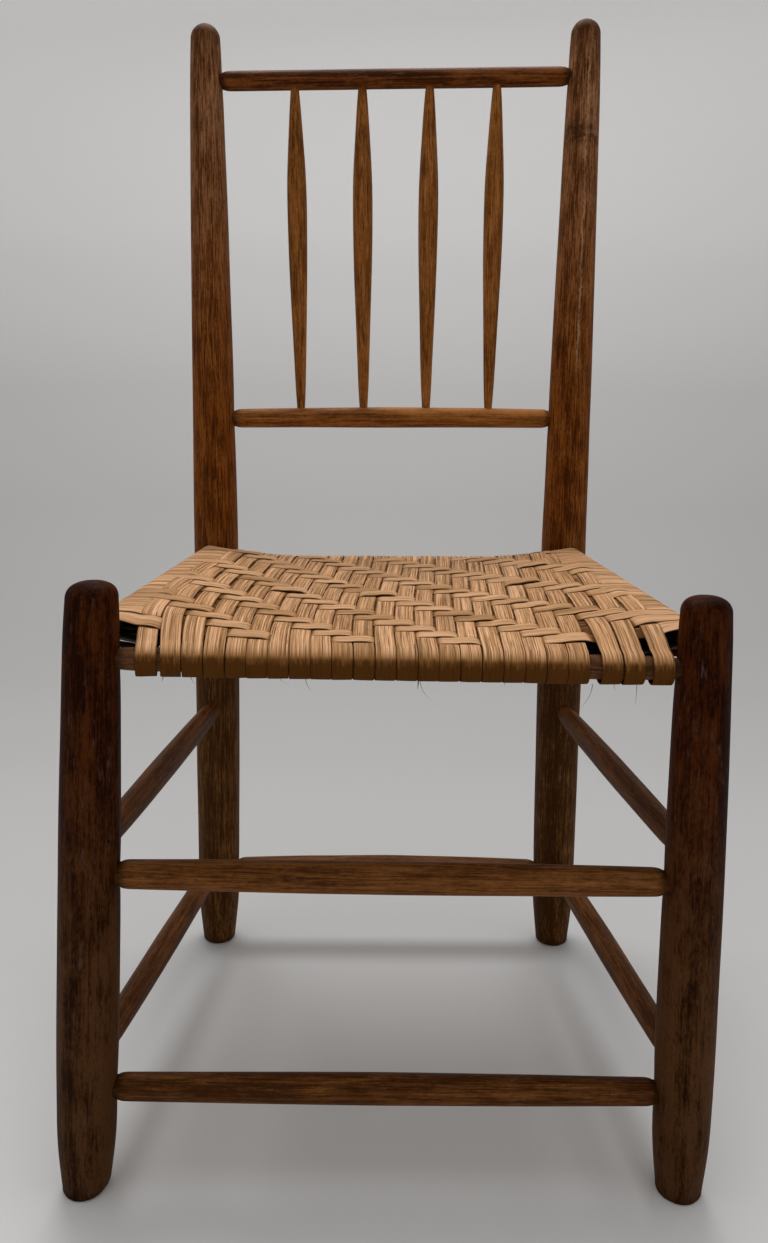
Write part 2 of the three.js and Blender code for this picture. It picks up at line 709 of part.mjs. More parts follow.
// Sections of a front-to-back strip over the top of the seat
function warpTop(strip) {
  const lastRow = lastRowOf(strip);
  const level = (row) => (weftOver(strip, row) ? -1 : 1);
  const at = (row, sign) => {
    const share = depthShare(row);
    const edges = [-1, 1].map((side) => seatPoint(
      stripX(strip, share) + side * STRIP_WIDTH / 2, strip + side * rowHalf, row, sign,
    ));
    return section(edges[0], edges[1], Z_AXIS);
  };
  const sections = [at(1 - rowHalf - rampRow, level(1))];
  for (let row = 1; row < lastRow; row++) {
    const middle = row + 1 / 2;
    if (level(row) !== level(row + 1)) {
      sections.push(at(row + rowHalf + rampRow, level(row)));
      sections.push(at(row + 1 - rowHalf - rampRow, level(row + 1)));
    } else if (isArchKink(middle) && edgeShare(strip) > 0) {
      sections.push(at(middle, level(row)));
    }
  }
  const end = lastRow === rows ? lastRow + rowHalf + rampRow : lastRow;
  sections.push(at(end, level(lastRow)));
  return sections;
}

// A section of the flat run under the seat between two strips' places
function warpUnder(xBack, xFront, y) {
  const share = y / SEAT_DEPTH;
  const x = lerp(xFront, xBack, share);
  const edges = [-1, 1].map((side) => {
    const edgeX = x + side * STRIP_WIDTH / 2;
    const z = lerp(railAt('front', edgeX).z, railAt('back', edgeX).z, share) - rollRadius;
    return new THREE.Vector3(edgeX, y, z);
  });
  return section(edges[0], edges[1], Z_AXIS.clone().negate());
}

const QUARTER = Math.PI / 2;
const frontRoll = (x) => warpRoll('front', x, -QUARTER, -3 * QUARTER);
const backRoll = (x) => warpRoll('back', x, QUARTER, -QUARTER);

// One whole turn: up round the front rail, over the seat and down round the back rail
const warpTurn = (strip) => [
  ...frontRoll(stripX(strip, 0)),
  ...warpTop(strip),
  ...backRoll(stripX(strip, 1)),
];

const pieceNumber = (k) => String(k + 1).padStart(2, '0');
const groupsOf = (list, size) => list.flatMap((_, k) => (k % size ? [] : [list.slice(k, k + size)]));

// Lengths of a few turns each, spliced end to end under the seat
const spliceY = SEAT_DEPTH * SPLICE_SHARE;
groupsOf(fullStrips, TURNS_PER_LENGTH).forEach((turns, k) => {
  const [first, last] = [turns[0], turns.at(-1)];
  const sections = [
    warpUnder(stripX(first, 1) - backPitch, stripX(first, 0), spliceY - SPLICE_GAP / 2),
    ...turns.flatMap(warpTurn),
    warpUnder(stripX(last, 1), stripX(last, 0) + frontPitch, spliceY + SPLICE_GAP / 2),
  ];
  addPiece(`warp_length_${pieceNumber(k)}`, skin(sections), warpSplint);
});

// Short corner strips: a tail below, round the front rail, and tucked under a cross strip
cornerStrips.forEach((strip, k) => {
  const frontX = stripX(strip, 0);
  const sections = [warpUnder(frontX, frontX, CORNER_TAIL), ...frontRoll(frontX), ...warpTop(strip)];
  addPiece(`corner_strip_${k + 1}`, skin(sections), warpSplint);
});

// Round a side rail, between two angles in the x-z plane
function weftRoll(side, row, fromTurn, toTurn) {
  return Array.from({ length: ROLL_STEPS + 1 }, (_, step) => {
    const turn = lerp(fromTurn, toTurn, step / ROLL_STEPS);
    const normal = new THREE.Vector3(Math.cos(turn), 0, Math.sin(turn));
    const edges = [-1, 1].map((end) => {
      const y = edgeY(row) + end * rowHalf * edgePitch;
      const point = railAt(side, y);
      return point.addScaledVector(normal, rollRadius);
    });
    return section(edges[0], edges[1], normal);
  });
}

// Sections of a cross strip over the top of the seat, from the left to the right
function weftTop(row) {
  const present = strips.flatMap((strip, k) => (row <= strip.lastRow ? [k + 1] : []));
  const level = (strip) => (weftOver(strip, row) ? 1 : -1);
  const at = (xOf, column, sign) => {
    const edges = [-1, 1].map((end) => {
      const place = row + end * rowHalf;
      return seatPoint(xOf(depthShare(place)), column, place, sign);
    });
    return section(edges[0], edges[1], Z_AXIS);
  };
  const edgeOf = (strip, side) => (share) => (
    stripX(strip, share) + side * (STRIP_WIDTH / 2 + RAMP_MARGIN)
  );
  const kinks = [
    ...LEFT_EDGE_SHARES.map(([column]) => column),
    ...RIGHT_EDGE_SHARES.map(([column]) => stripCount + 1 - column),
  ];
  const sections = [at(edgeOf(present[0], -1), present[0] - rowHalf, level(present[0]))];
  for (let k = 0; k + 1 < present.length; k++) {
    const [strip, next] = [present[k], present[k + 1]];
    const middle = (share) => (stripX(strip, share) + stripX(next, share)) / 2;
    if (level(strip) !== level(next)) {
      sections.push(at(edgeOf(strip, 1), strip + rowHalf, level(strip)));
      sections.push(at(edgeOf(next, -1), next - rowHalf, level(next)));
    } else if (kinks.includes(strip + 1 / 2)) {
      sections.push(at(middle, strip + 1 / 2, level(strip)));
    }
  }
  const last = present.at(-1);
  sections.push(at(edgeOf(last, 1), last + rowHalf, level(last)));
  return sections;
}

// Under the seat the cross strips run straight between the side rails, above the others
function weftUnder(rightRow, leftRow, share) {
  const edges = [-1, 1].map((end) => {
    const offset = end * rowHalf * edgePitch;
    const right = railAt('right', edgeY(rightRow) + offset);
    const left = railAt('left', edgeY(leftRow) + offset);
    const point = right.lerp(left, share);
    point.z -= rollRadius;
    return point;
  });
  return section(edges[0], edges[1], Z_AXIS.clone().negate());
}

// The cross strips leave the side rails at a slant, down to the weave
const slant = QUARTER * ROLL_SLANT_SHARE;
const weftTurn = (row) => [
  ...weftRoll('left', row, 3 * QUARTER, QUARTER - slant),
  ...weftTop(row),
  ...weftRoll('right', row, QUARTER + slant, -QUARTER),
];

const rowNumbers = Array.from({ length: rows }, (_, k) => k + 1);
const spliceShare = SPLICE_GAP / 2 / FRONT_TOP_SPREAD;
groupsOf(rowNumbers, TURNS_PER_LENGTH).forEach((turns, k) => {
  const [first, last] = [turns[0], turns.at(-1)];
  const sections = [
    weftUnder(first - 1, first, SPLICE_SHARE + spliceShare),
    ...turns.flatMap(weftTurn),
    weftUnder(last, last + 1, SPLICE_SHARE - spliceShare),
  ];
  addPiece(`weft_length_${pieceNumber(k)}`, skin(sections), weftSplint);
});

// The origin goes to the floor under the middle of the whole chair
const bounds = new THREE.Box3().setFromObject(chair);
const middle = bounds.getCenter(new THREE.Vector3());
chair.position.set(-middle.x, -middle.y, 0);

export default chair;
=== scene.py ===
# %% [markdown]
# A country side chair with a woven splint seat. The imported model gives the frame: where each
# post, rung, spindle and splint length is. This script dresses it: it turns each stick again
# with a finer, hand-worked outline, weaves the seat strip by strip on both faces, and paints
# old stained wood and tan splint with procedural materials.

# %% Loading the frame
import json
import math

import bpy
import numpy as np
from mathutils import Matrix, Vector

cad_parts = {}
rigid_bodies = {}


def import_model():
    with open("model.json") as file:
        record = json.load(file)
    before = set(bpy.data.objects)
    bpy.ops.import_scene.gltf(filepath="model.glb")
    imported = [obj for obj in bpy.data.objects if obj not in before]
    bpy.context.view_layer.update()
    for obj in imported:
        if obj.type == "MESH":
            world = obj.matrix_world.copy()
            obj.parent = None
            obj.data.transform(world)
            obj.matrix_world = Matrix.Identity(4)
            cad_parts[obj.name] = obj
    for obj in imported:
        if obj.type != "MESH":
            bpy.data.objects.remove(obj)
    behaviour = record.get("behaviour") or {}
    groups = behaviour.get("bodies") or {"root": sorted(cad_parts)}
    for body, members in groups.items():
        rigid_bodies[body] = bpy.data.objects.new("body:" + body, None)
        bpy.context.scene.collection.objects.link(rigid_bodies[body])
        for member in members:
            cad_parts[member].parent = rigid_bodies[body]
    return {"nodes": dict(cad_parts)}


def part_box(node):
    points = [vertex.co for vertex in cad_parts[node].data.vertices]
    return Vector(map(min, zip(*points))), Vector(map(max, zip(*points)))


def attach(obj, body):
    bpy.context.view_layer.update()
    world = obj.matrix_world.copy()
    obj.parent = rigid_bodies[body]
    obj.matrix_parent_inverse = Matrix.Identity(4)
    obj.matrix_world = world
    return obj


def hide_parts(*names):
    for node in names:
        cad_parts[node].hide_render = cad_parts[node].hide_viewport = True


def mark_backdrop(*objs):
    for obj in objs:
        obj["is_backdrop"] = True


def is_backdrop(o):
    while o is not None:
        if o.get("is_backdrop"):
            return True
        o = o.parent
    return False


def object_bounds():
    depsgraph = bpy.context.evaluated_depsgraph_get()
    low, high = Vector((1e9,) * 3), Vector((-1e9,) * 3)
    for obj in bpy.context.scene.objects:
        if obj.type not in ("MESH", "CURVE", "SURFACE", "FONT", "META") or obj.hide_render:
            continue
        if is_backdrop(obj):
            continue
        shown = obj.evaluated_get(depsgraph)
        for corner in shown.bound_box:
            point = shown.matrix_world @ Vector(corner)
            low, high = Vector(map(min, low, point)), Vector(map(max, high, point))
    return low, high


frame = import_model()
cad_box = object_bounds()
print("CAD box in metres:", [round(x, 4) for corner in cad_box for x in corner])

# %% [markdown]
# Wood sizes are easiest to think of in millimetres, so the whole chair is worked out in
# millimetres in the frame's own axes (+X right, +Y back, +Z up), and its pieces become metres
# only when their meshes are made. The backdrop and the lamp, at the end, are in metres.

# %% Units
MM = 0.001
nodes = frame["nodes"]


def node_box(name):
    low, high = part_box(name)
    return np.array(low) / MM, np.array(high) / MM


# %% [markdown]
# The camera stands where the photograph was taken from: just above the height of the lower
# back rail, close to the chair, looking a little down and tipped by little more than half a
# degree. The lens comes from the focal length in pixels, because Blender's 36 mm sensor lies
# along the longer side of the picture. The picture is cropped low, so the frame is shifted
# down instead of turning the camera, which would make the posts lean.

# %% Camera
PICTURE_WIDTH = 768
PICTURE_HEIGHT = 1243
FOCAL_PIXELS = 1015
AXIS_PIXEL = (384, 540)
SENSOR = 36
CAMERA_PLACE = Vector((-9.3, -857.7, 571.3))
CAMERA_YAW = math.radians(0.355)
CAMERA_PITCH = math.radians(8.103)
CAMERA_ROLL = math.radians(0.633)


def camera_axes():
    """Right, down and forward directions of the camera."""
    yaw, pitch, roll = CAMERA_YAW, CAMERA_PITCH, CAMERA_ROLL
    forward = Vector((
        math.sin(yaw) * math.cos(pitch),
        math.cos(yaw) * math.cos(pitch),
        -math.sin(pitch),
    ))
    level = Vector((math.cos(yaw), -math.sin(yaw), 0))
    down = forward.cross(level)
    right = level * math.cos(roll) - down * math.sin(roll)
    down = level * math.sin(roll) + down * math.cos(roll)
    return right, down, forward


def add_camera():
    data = bpy.data.cameras.new("camera")
    data.sensor_width = SENSOR
    data.lens = FOCAL_PIXELS * SENSOR / PICTURE_HEIGHT
    data.shift_x = (PICTURE_WIDTH / 2 - AXIS_PIXEL[0]) / PICTURE_HEIGHT
    data.shift_y = (AXIS_PIXEL[1] - PICTURE_HEIGHT / 2) / PICTURE_HEIGHT
    camera = bpy.data.objects.new("camera", data)
    bpy.context.scene.collection.objects.link(camera)
    right, down, forward = camera_axes()
    turn = Matrix((right, -down, -forward)).transposed()
    camera.matrix_world = Matrix.Translation(CAMERA_PLACE * MM) @ turn.to_4x4()
    bpy.context.scene.camera = camera
    return camera


camera = add_camera()
print("lens in mm:", round(camera.data.lens, 2), "shift:", round(camera.data.shift_y, 4))

# %% [markdown]
# To refine a stick, the script has to know where the CAD stick runs and how thick it is.
# Instead of repeating those sizes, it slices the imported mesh: every edge that crosses a plane
# gives a point, and the box of those points gives the middle and the radius there. Holes for
# tenons lie inside that box, so they don't disturb it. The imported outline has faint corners,
# so what is measured is averaged over a bell afterwards.

# %% Measuring a stick of the frame
X, Y, Z = 0, 1, 2
SLICE_STEP = 2.0
BODY_STEP = 0.5
BODY_RISE = 1.04
END_INSET = 0.2
LEAST_SLICES = 3


def edges_of(name):
    mesh = nodes[name].data
    points = np.empty(len(mesh.vertices) * 3)
    mesh.vertices.foreach_get("co", points)
    ends = np.empty(len(mesh.edges) * 2, int)
    mesh.edges.foreach_get("vertices", ends)
    points = points.reshape(-1, 3) / MM
    return points[ends[0::2]], points[ends[1::2]]


def crossings(starts, ends, axis, place):
    """Points where edges cross a plane."""
    a, b = starts[:, axis], ends[:, axis]
    crossing = (a - place) * (b - place) < 0
    share = (place - a[crossing]) / (b[crossing] - a[crossing])
    return starts[crossing] + share[:, None] * (ends[crossing] - starts[crossing])


class Stick:
    """A stick of the frame that runs along one axis, measured by slicing its mesh."""

    def __init__(self, name, axis):
        self.axis = axis
        self.across = Y if axis == X else X
        self.starts, self.ends = edges_of(name)
        low, high = node_box(name)
        self.low, self.high = low[axis], high[axis]

    def slice(self, place):
        """Middle and radius of the stick where it crosses a plane."""
        points = crossings(self.starts, self.ends, self.axis, place)
        low, high = points.min(0), points.max(0)
        return (low + high) / 2, (high - low)[self.across] / 2

    def samples(self, low, high, step=SLICE_STEP):
        """Places, middles and radii at even steps between two places."""
        places = np.linspace(low, high, max(LEAST_SLICES, round((high - low) / step)))
        found = [self.slice(place) for place in places]
        return places, np.array([f[0] for f in found]), np.array([f[1] for f in found])

    def body(self):
        """The two places where the body rises from the tenons."""
        places, _, radii = self.samples(self.low + END_INSET, self.high - END_INSET, BODY_STEP)
        thick = np.nonzero(radii > BODY_RISE * radii[0])[0]
        return places[thick[0]], places[thick[-1]]


def smooth_step(value):
    value = np.clip(value, 0, 1)
    return value * value * (3 - 2 * value)


def smoothed(values, spread):
    """Values at even steps, averaged over a bell of that many steps."""
    reach = int(3 * spread) + 1
    bell = np.exp(-0.5 * (np.arange(-reach, reach + 1) / spread) ** 2)
    padded = np.concatenate([
        2 * values[:1] - values[reach:0:-1],
        values,
        2 * values[-1:] - values[-2:-reach - 2:-1],
    ])
    if values.ndim == 1:
        return np.convolve(padded, bell / bell.sum(), "valid")
    return np.stack([np.convolve(c, bell / bell.sum(), "valid") for c in padded.T], axis=1)


def points_at(places, known, middles):
    """Middles at new places, read between the known ones."""
    return np.stack([np.interp(places, known, middles[:, k]) for k in range(3)], axis=1)


crest = Stick("crest_rail", X)
print("crest rail body runs from x", [round(place, 1) for place in crest.body()])

# %% [markdown]
# A mesh also carries what its material needs to know. The grain attribute is each point's
# place in the straightened stick, in millimetres, with the third number along the grain, so
# one material fits sticks that lie in any direction. Tint makes each piece a little lighter
# or darker, and on the posts it also holds painted shade and painted light. The third
# attribute says where a piece is darker: dirt, and on the seat also painted shade.

# %% Making a mesh
def tube_faces(rings, sides):
    """Quads between rings of points, with both ends closed by one face."""
    ring = np.arange(rings - 1)[:, None] * sides
    side = np.arange(sides)[None, :]
    following = (side + 1) % sides
    quads = np.stack([ring + side, ring + following, ring + sides + following, ring + sides + side], -1)
    last = (rings - 1) * sides
    faces = quads.reshape(-1, 4).tolist()
    return faces + [list(range(sides))[::-1], list(range(last, last + sides))]


def make_piece(name, points, faces, material, grain, tint, soil):
    mesh = bpy.data.meshes.new(name)
    mesh.from_pydata((points * MM).tolist(), [], faces)
    mesh.shade_smooth()
    mesh.materials.append(material)
    stored = mesh.attributes.new("grain", "FLOAT_VECTOR", "POINT")
    stored.data.foreach_set("vector", np.asarray(grain, np.float32).ravel())
    for label, value in (("tint", tint), ("soil", soil)):
        stored = mesh.attributes.new(label, "FLOAT", "POINT")
        filled = np.broadcast_to(np.asarray(value, np.float32), len(points))
        stored.data.foreach_set("value", filled.copy())
    piece = bpy.data.objects.new(name, mesh)
    bpy.context.scene.collection.objects.link(piece)
    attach(piece, "root")
    return piece


def stand_for(node):
    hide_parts(node)


def pieces_called(ending):
    """How many pieces have names with this ending."""
    return sum(piece.name.endswith(ending) for piece in bpy.data.objects)


print("faces of a tube with 3 rings of 8 points:", len(tube_faces(3, 8)))

# %% [markdown]
# Shader maths reads best as plain sums. This class wraps a socket of a material's node tree:
# adding, subtracting, multiplying or dividing it makes the Math node and gives back the
# result. Colours and vectors go through Mix and Vector Math instead, because a Math node
# would turn a colour grey. `node` makes any other node from its type, settings and sockets.

# %% Shader sums
NOISE_MIDDLE = 0.5


def opaque(colour):
    """A colour as a socket or a ramp takes it, with an alpha of 1."""
    return (*colour, 1)


class Shade:
    def __init__(self, tree, socket=None):
        self.tree = tree
        self.socket = socket

    def node(self, kind, settings=None, sockets=None, output=0):
        made = self.tree.nodes.new(kind)
        for name, value in (settings or {}).items():
            if name == "stops":
                self.set_stops(made.color_ramp, value)
            else:
                setattr(made, name, value)
        for name, value in (sockets or {}).items():
            if isinstance(value, Shade):
                self.tree.links.new(value.socket, made.inputs[name])
            else:
                made.inputs[name].default_value = value
        return Shade(self.tree, made.outputs[output]) if len(made.outputs) else made

    @staticmethod
    def set_stops(ramp, stops):
        while len(ramp.elements) < len(stops):
            ramp.elements.new(1)
        for element, (place, colour) in zip(ramp.elements, stops):
            element.position = place
            element.color = opaque(colour)

    def sum(self, operation, first, second):
        return self.node("ShaderNodeMath", {"operation": operation}, {0: first, 1: second})

    def __add__(self, other):
        return self.sum("ADD", self, other)

    __radd__ = __add__

    def __mul__(self, other):
        return self.sum("MULTIPLY", self, other)

    __rmul__ = __mul__

    def __sub__(self, other):
        return self.sum("SUBTRACT", self, other)

    def __rsub__(self, other):
        return self.sum("SUBTRACT", other, self)

    def __truediv__(self, other):
        return self.sum("DIVIDE", self, other)

    def __rtruediv__(self, other):
        return self.sum("DIVIDE", other, self)

    def least(self, other):
        return self.sum("MINIMUM", self, other)

    def size(self):
        return self.sum("ABSOLUTE", self, 0)

    def step(self, low, high):
        """0 below low, 1 above high, and a smooth rise between them."""
        return self.node(
            "ShaderNodeMapRange", {"interpolation_type": "SMOOTHSTEP"},
            {0: self, 1: low, 2: high},
        )

    def colours(self, stops):
        return self.node("ShaderNodeValToRGB", {"stops": stops}, {0: self})

    def between(self, low, high):
        """A colour from low, where this is 0, to high, where it is 1."""
        return self.node("ShaderNodeMix", {"data_type": "RGBA"}, {0: self, 6: low, 7: high}, 2)

    def times(self, x, y, z):
        """A vector with each part scaled."""
        return self.node("ShaderNodeVectorMath", {"operation": "MULTIPLY"}, {0: self, 1: (x, y, z)})

    def moved(self, x, y, z):
        return self.node("ShaderNodeVectorMath", {"operation": "ADD"}, {0: self, 1: (x, y, z)})

    def part(self, axis):
        return self.node("ShaderNodeSeparateXYZ", None, {0: self}, axis)

    def noise(self, detail, roughness, distortion=0.0):
        return self.node("ShaderNodeTexNoise", None, {
            "Vector": self, "Scale": 1.0, "Detail": detail,
            "Roughness": roughness, "Distortion": distortion,
        })

    def spots(self):
        """Distance to the nearest of many scattered points."""
        return self.node("ShaderNodeTexVoronoi", None, {"Vector": self, "Scale": 1.0})

    def swing(self, amount):
        """How far a noise strays from its middle value, times an amount."""
        return (self - NOISE_MIDDLE) * amount


def new_material(name):
    material = bpy.data.materials.new(name)
    material.use_nodes = True
    material.node_tree.nodes.clear()
    return material, Shade(material.node_tree)


def attribute(shade, name, output):
    return shade.node("ShaderNodeAttribute", {"attribute_name": name}, None, output)


def piece_attributes(shade):
    """The three attributes that every piece carries."""
    return attribute(shade, "grain", 1), attribute(shade, "tint", 2), attribute(shade, "soil", 2)


def finish_material(shade, colour, roughness, height, depth, gloss):
    """Joins colour, roughness and a bump of that depth in mm to a shader and the output."""
    bump = shade.node("ShaderNodeBump", None, {
        "Strength": 1.0, "Distance": depth * MM, "Height": height,
    })
    shader = shade.node("ShaderNodeBsdfPrincipled", None, {
        "Base Color": colour, "Roughness": roughness, "Normal": bump,
        "Specular IOR Level": gloss,
    })
    shade.node("ShaderNodeOutputMaterial", None, {0: shader})


# %% [markdown]
# Old stained wood is never one brown. Seen close, it has broad dark and light streaks where
# the stain sank in unevenly, fine fibres, short dark pores, a few worm holes, and paler scuffs
# where hands and shoes have worn the finish away. Each of those is a noise that is stretched
# along the grain by its own amount: the numbers in `times` say how many steps of it a
# millimetre holds across, through and along the grain. Their sum picks a brown from a ramp.
# The posts also carry dust on their lower ends, and the back posts have faded near the top.
# Both go by the height above the floor, which is the third grain number of a post. In the
# names below, EDGES are the noise levels between which a mark sets in, and COVER is how much
# of what lies under it a layer hides at most.

# %% Stained wood
# Places on the ramp, and how bright the brown is there
TONE_STOPS = ((0.12, 0.38), (0.42, 0.86), (0.64, 1.28), (0.95, 1.8))
# Powers of that brightness for red, green and blue, so that dark tones are redder
REDDENING = (1.0, 1.15, 1.6)
DUST_CLOUDS = 1.2
DUST_COVER = 0.8
FADED_HEIGHTS = (560, 860)
FADED_CLOUDS = 0.35
FADED_COVER = 0.6
PORE_EDGES = (0.58, 0.68)
PORE_BROWN = 0.25
SCUFF_EDGES = (0.56, 0.68)
SCUFF_FIBRE_EDGES = (0.46, 0.62)
SCUFF_BROWN = (1.5, 0.03)
HOLE_EDGES = (0.026, 0.038)
HOLE_COLOUR = (0.004, 0.002, 0.001)
DARKENED_BROWN = 0.2
WOOD_RELIEF = 0.3


def shades_of(brown):
    """Ramp stops from dark to pale round one brown, redder where darker."""
    return [
        (place, tuple(part * share ** power for part, power in zip(brown, REDDENING)))
        for place, share in TONE_STOPS
    ]


def scaled(brown, share, more=0.0):
    """The same brown, darker or paler, with a little of every colour added."""
    return opaque(share * part + more for part in brown)


def stained_wood(name, brown, streak, mottle, scuff, pore=0.55, dullness=0.5, gloss=0.05,
                 fine=1.4, scar=False, dust=None, dusty=(90, 400), faded=None):
    """Wood of one brown; scar, dust and faded go by height, so they are for posts alone."""
    material, shade = new_material(name)
    grain, tint, soil = piece_attributes(shade)
    broad = grain.times(0.085, 0.085, 0.005).noise(3, 0.55, 0.4)
    streaks = grain.times(0.38, 0.38, 0.012).noise(3, 0.6, 0.3)
    fibres = grain.times(0.9, 0.9, 0.035).noise(3, 0.7)
    clouds = grain.times(0.06, 0.06, 0.03).noise(4, 0.6)
    flecks = grain.times(0.45, 0.45, 0.2).noise(3, 0.7)
    pores = grain.times(2.0, 2.0, 0.28).noise(2, 0.6)
    tone = broad.swing(1.5 * streak) + streaks.swing(1.2 * streak)
    tone = tone + fibres.swing(1.3 * fine) + clouds.swing(mottle)
    tone = tone + flecks.swing(0.8 * mottle)
    tone = tone + tint + NOISE_MIDDLE
    colour = tone.colours(shades_of(brown))
    if dust:
        low = clouds.swing(DUST_CLOUDS) + 1 - grain.part(Z).step(*dusty)
        colour = (low.least(1.0) * DUST_COVER).between(colour, tone.colours(shades_of(dust)))
    if faded:
        high = grain.part(Z).step(*FADED_HEIGHTS) * (clouds + FADED_CLOUDS)
        colour = (high.least(1.0) * FADED_COVER).between(colour, tone.colours(shades_of(faded)))
    pits = pores.step(*PORE_EDGES)
    colour = (pits * pore).between(colour, scaled(brown, PORE_BROWN))
    rub = grain.times(0.16, 0.16, 0.045).noise(4, 0.65)
    rubbed_fibres = grain.times(1.1, 1.1, 0.09).noise(3, 0.6)
    worn = (rub.step(*SCUFF_EDGES) * rubbed_fibres.step(*SCUFF_FIBRE_EDGES)) * scuff
    colour = worn.between(colour, scaled(brown, *SCUFF_BROWN))
    holes = 1 - grain.times(0.036, 0.036, 0.03).spots().step(*HOLE_EDGES)
    colour = holes.between(colour, opaque(HOLE_COLOUR))
    if scar:
        colour = scarred(grain, colour)
    colour = soil.least(1.0).between(colour, scaled(brown, DARKENED_BROWN))
    roughness = fibres.swing(0.25) + clouds.swing(0.3) + worn * 0.2 + soil * 0.2 + dullness
    height = fibres * 0.4 + streaks * 0.5 - pits * 0.35 - holes * 3.0 + flecks * 0.3
    finish_material(shade, colour, roughness, height, WOOD_RELIEF, gloss)
    return material


# %% [markdown]
# The right back post carries marks of its own: a pale, broken crack that wanders down its
# front from the top, and a dark stained band a little below the crest rail. Both are masks
# made from the post's own grain numbers, so they stay on the post whatever the camera does.

# %% Marks of the right back post
CRACK_FROM = 564
CRACK_TO = 916
CRACK_FADE_BELOW = 60
CRACK_FADE_ABOVE = 20
CRACK_SIDE = 2.0
CRACK_WIDTH = 0.7
CRACK_WANDER = 7
CRACK_WIGGLE = 5
CRACK_BREAKS = (0.38, 0.58)
CRACK_FRONT = (-8, -4)
CRACK_COVER = 0.55
CRACK_COLOUR = (0.42, 0.26, 0.14)
BAND_HEIGHT = 826
BAND_HALF = 9
BAND_EDGES = (0.3, 1.7)
BAND_WANDER = 2
BAND_MOTTLE = (0.4, 0.6)
BAND_COVER = 0.75
BAND_COLOUR = (0.03, 0.012, 0.005)


def scarred(grain, colour):
    side, front, height = (grain.part(axis) for axis in (X, Y, Z))
    wander = grain.times(0, 0, 0.035).noise(3, 0.6).swing(CRACK_WANDER)
    wiggle = grain.times(0, 0, 0.22).moved(2, 5, 0).noise(3, 0.7).swing(CRACK_WIGGLE)
    breaks = grain.times(0.3, 0, 0.045).moved(7, 3, 0).noise(4, 0.75).step(*CRACK_BREAKS)
    frayed = grain.times(0.9, 0.9, 0.3).noise(3, 0.7) * (4 * CRACK_WIDTH) - CRACK_WIDTH
    off = (side - CRACK_SIDE - wander - wiggle).size() - frayed
    line = 1 - off.step(0, CRACK_WIDTH)
    upper = height.step(CRACK_FROM, CRACK_FROM + CRACK_FADE_BELOW)
    upper = upper * (1 - height.step(CRACK_TO - CRACK_FADE_ABOVE, CRACK_TO))
    crack = line * breaks * upper * (1 - front.step(*CRACK_FRONT)) * CRACK_COVER
    edges = [BAND_HALF * share for share in BAND_EDGES]
    band = 1 - ((height - BAND_HEIGHT).size() + wander * BAND_WANDER).step(*edges)
    mottled = grain.times(0.2, 0.2, 0.2).noise(4, 0.7).step(*BAND_MOTTLE)
    colour = (band * mottled * BAND_COVER).between(colour, opaque(BAND_COLOUR))
    return crack.between(colour, opaque(CRACK_COLOUR))


# %% [markdown]
# The chair was stained in one go, but light, hands and dirt have made seven woods of it. The
# front posts are nearly black and streaky, the back posts are a warmer brown with the clearest
# fibres, and the spindles are the palest. A post or a stick that is handled much gets more
# scuffs, and one that is out of reach gets fewer. Colours are linear, not as a screen shows
# them.

# %% The seven woods
FRONT_BROWN = (0.031, 0.0064, 0.0007)
FRONT_DUST = (0.043, 0.0175, 0.0048)
BACK_BROWN = (0.136, 0.0365, 0.0032)
BACK_DUST = (0.103, 0.0475, 0.0125)
BACK_DUSTY_HEIGHTS = (250, 500)
BACK_FADED = (0.185, 0.088, 0.038)
CREST_BROWN = (0.100, 0.0275, 0.0038)
RUNG_BROWN = (0.114, 0.0395, 0.0080)
SPINDLE_BROWN = (0.200, 0.069, 0.0125)
RAIL_BROWN = (0.100, 0.040, 0.0150)
front_wood = stained_wood("front post wood", FRONT_BROWN, streak=1.1, mottle=1.9, scuff=0.8,
                          pore=0.7, gloss=0.02, dust=FRONT_DUST)
back_wood = stained_wood("back post wood", BACK_BROWN, streak=0.55, mottle=0.9, scuff=0.6,
                         pore=0.75, gloss=0.04, fine=2.1, dust=BACK_DUST,
                         dusty=BACK_DUSTY_HEIGHTS, faded=BACK_FADED)
marked_wood = stained_wood("marked back post wood", BACK_BROWN, streak=0.7, mottle=1.2,
                           scuff=0.6, pore=0.75, gloss=0.04, fine=2.1, scar=True,
                           dust=BACK_DUST, dusty=BACK_DUSTY_HEIGHTS, faded=BACK_FADED)
crest_wood = stained_wood("crest rail wood", CREST_BROWN, streak=1.7, mottle=1.5, scuff=1.0)
rung_wood = stained_wood("rung wood", RUNG_BROWN, streak=0.8, mottle=0.8, scuff=0.5,
                         dullness=0.46)
spindle_wood = stained_wood("spindle wood", SPINDLE_BROWN, streak=0.75, mottle=0.8, scuff=0.4,
                            dullness=0.48)
rail_wood = stained_wood("seat rail wood", RAIL_BROWN, streak=0.6, mottle=0.8, scuff=0.3,
                         dullness=0.6)
woods = (front_wood, back_wood, marked_wood, crest_wood, rung_wood, spindle_wood, rail_wood)
print("woods:", [wood.name for wood in woods])

# %% [markdown]
# The posts and rungs were shaved and turned by hand, so they aren't perfect cylinders. Two
# things give that away: shallow flats that run along the stick, and a slow unevenness of a
# few tenths of a millimetre. Both are added to the radius, from seeded random numbers, so
# that the chair comes out the same each time. The flats meet in soft edges, because they are
# joined by a smooth minimum: a sum of exponentials that the nearest surface rules.

# %% Hand-worked unevenness
FLAT_COUNT = 11
FLAT_CUT = 0.978
FLAT_DRIFT = 0.15
DRIFT_LENGTH = 210
EDGE_SHARPNESS = 7.0
LEAST_FACING = 0.5
FAR_OUT = 1e3
LUMP = 0.28
LUMP_WAVES = 7
LUMP_PACES = (0.01, 0.07)
LUMP_SIZES = (0.5, 1.5)
TURN_KINDS = 4
LAST_PHASE = 6


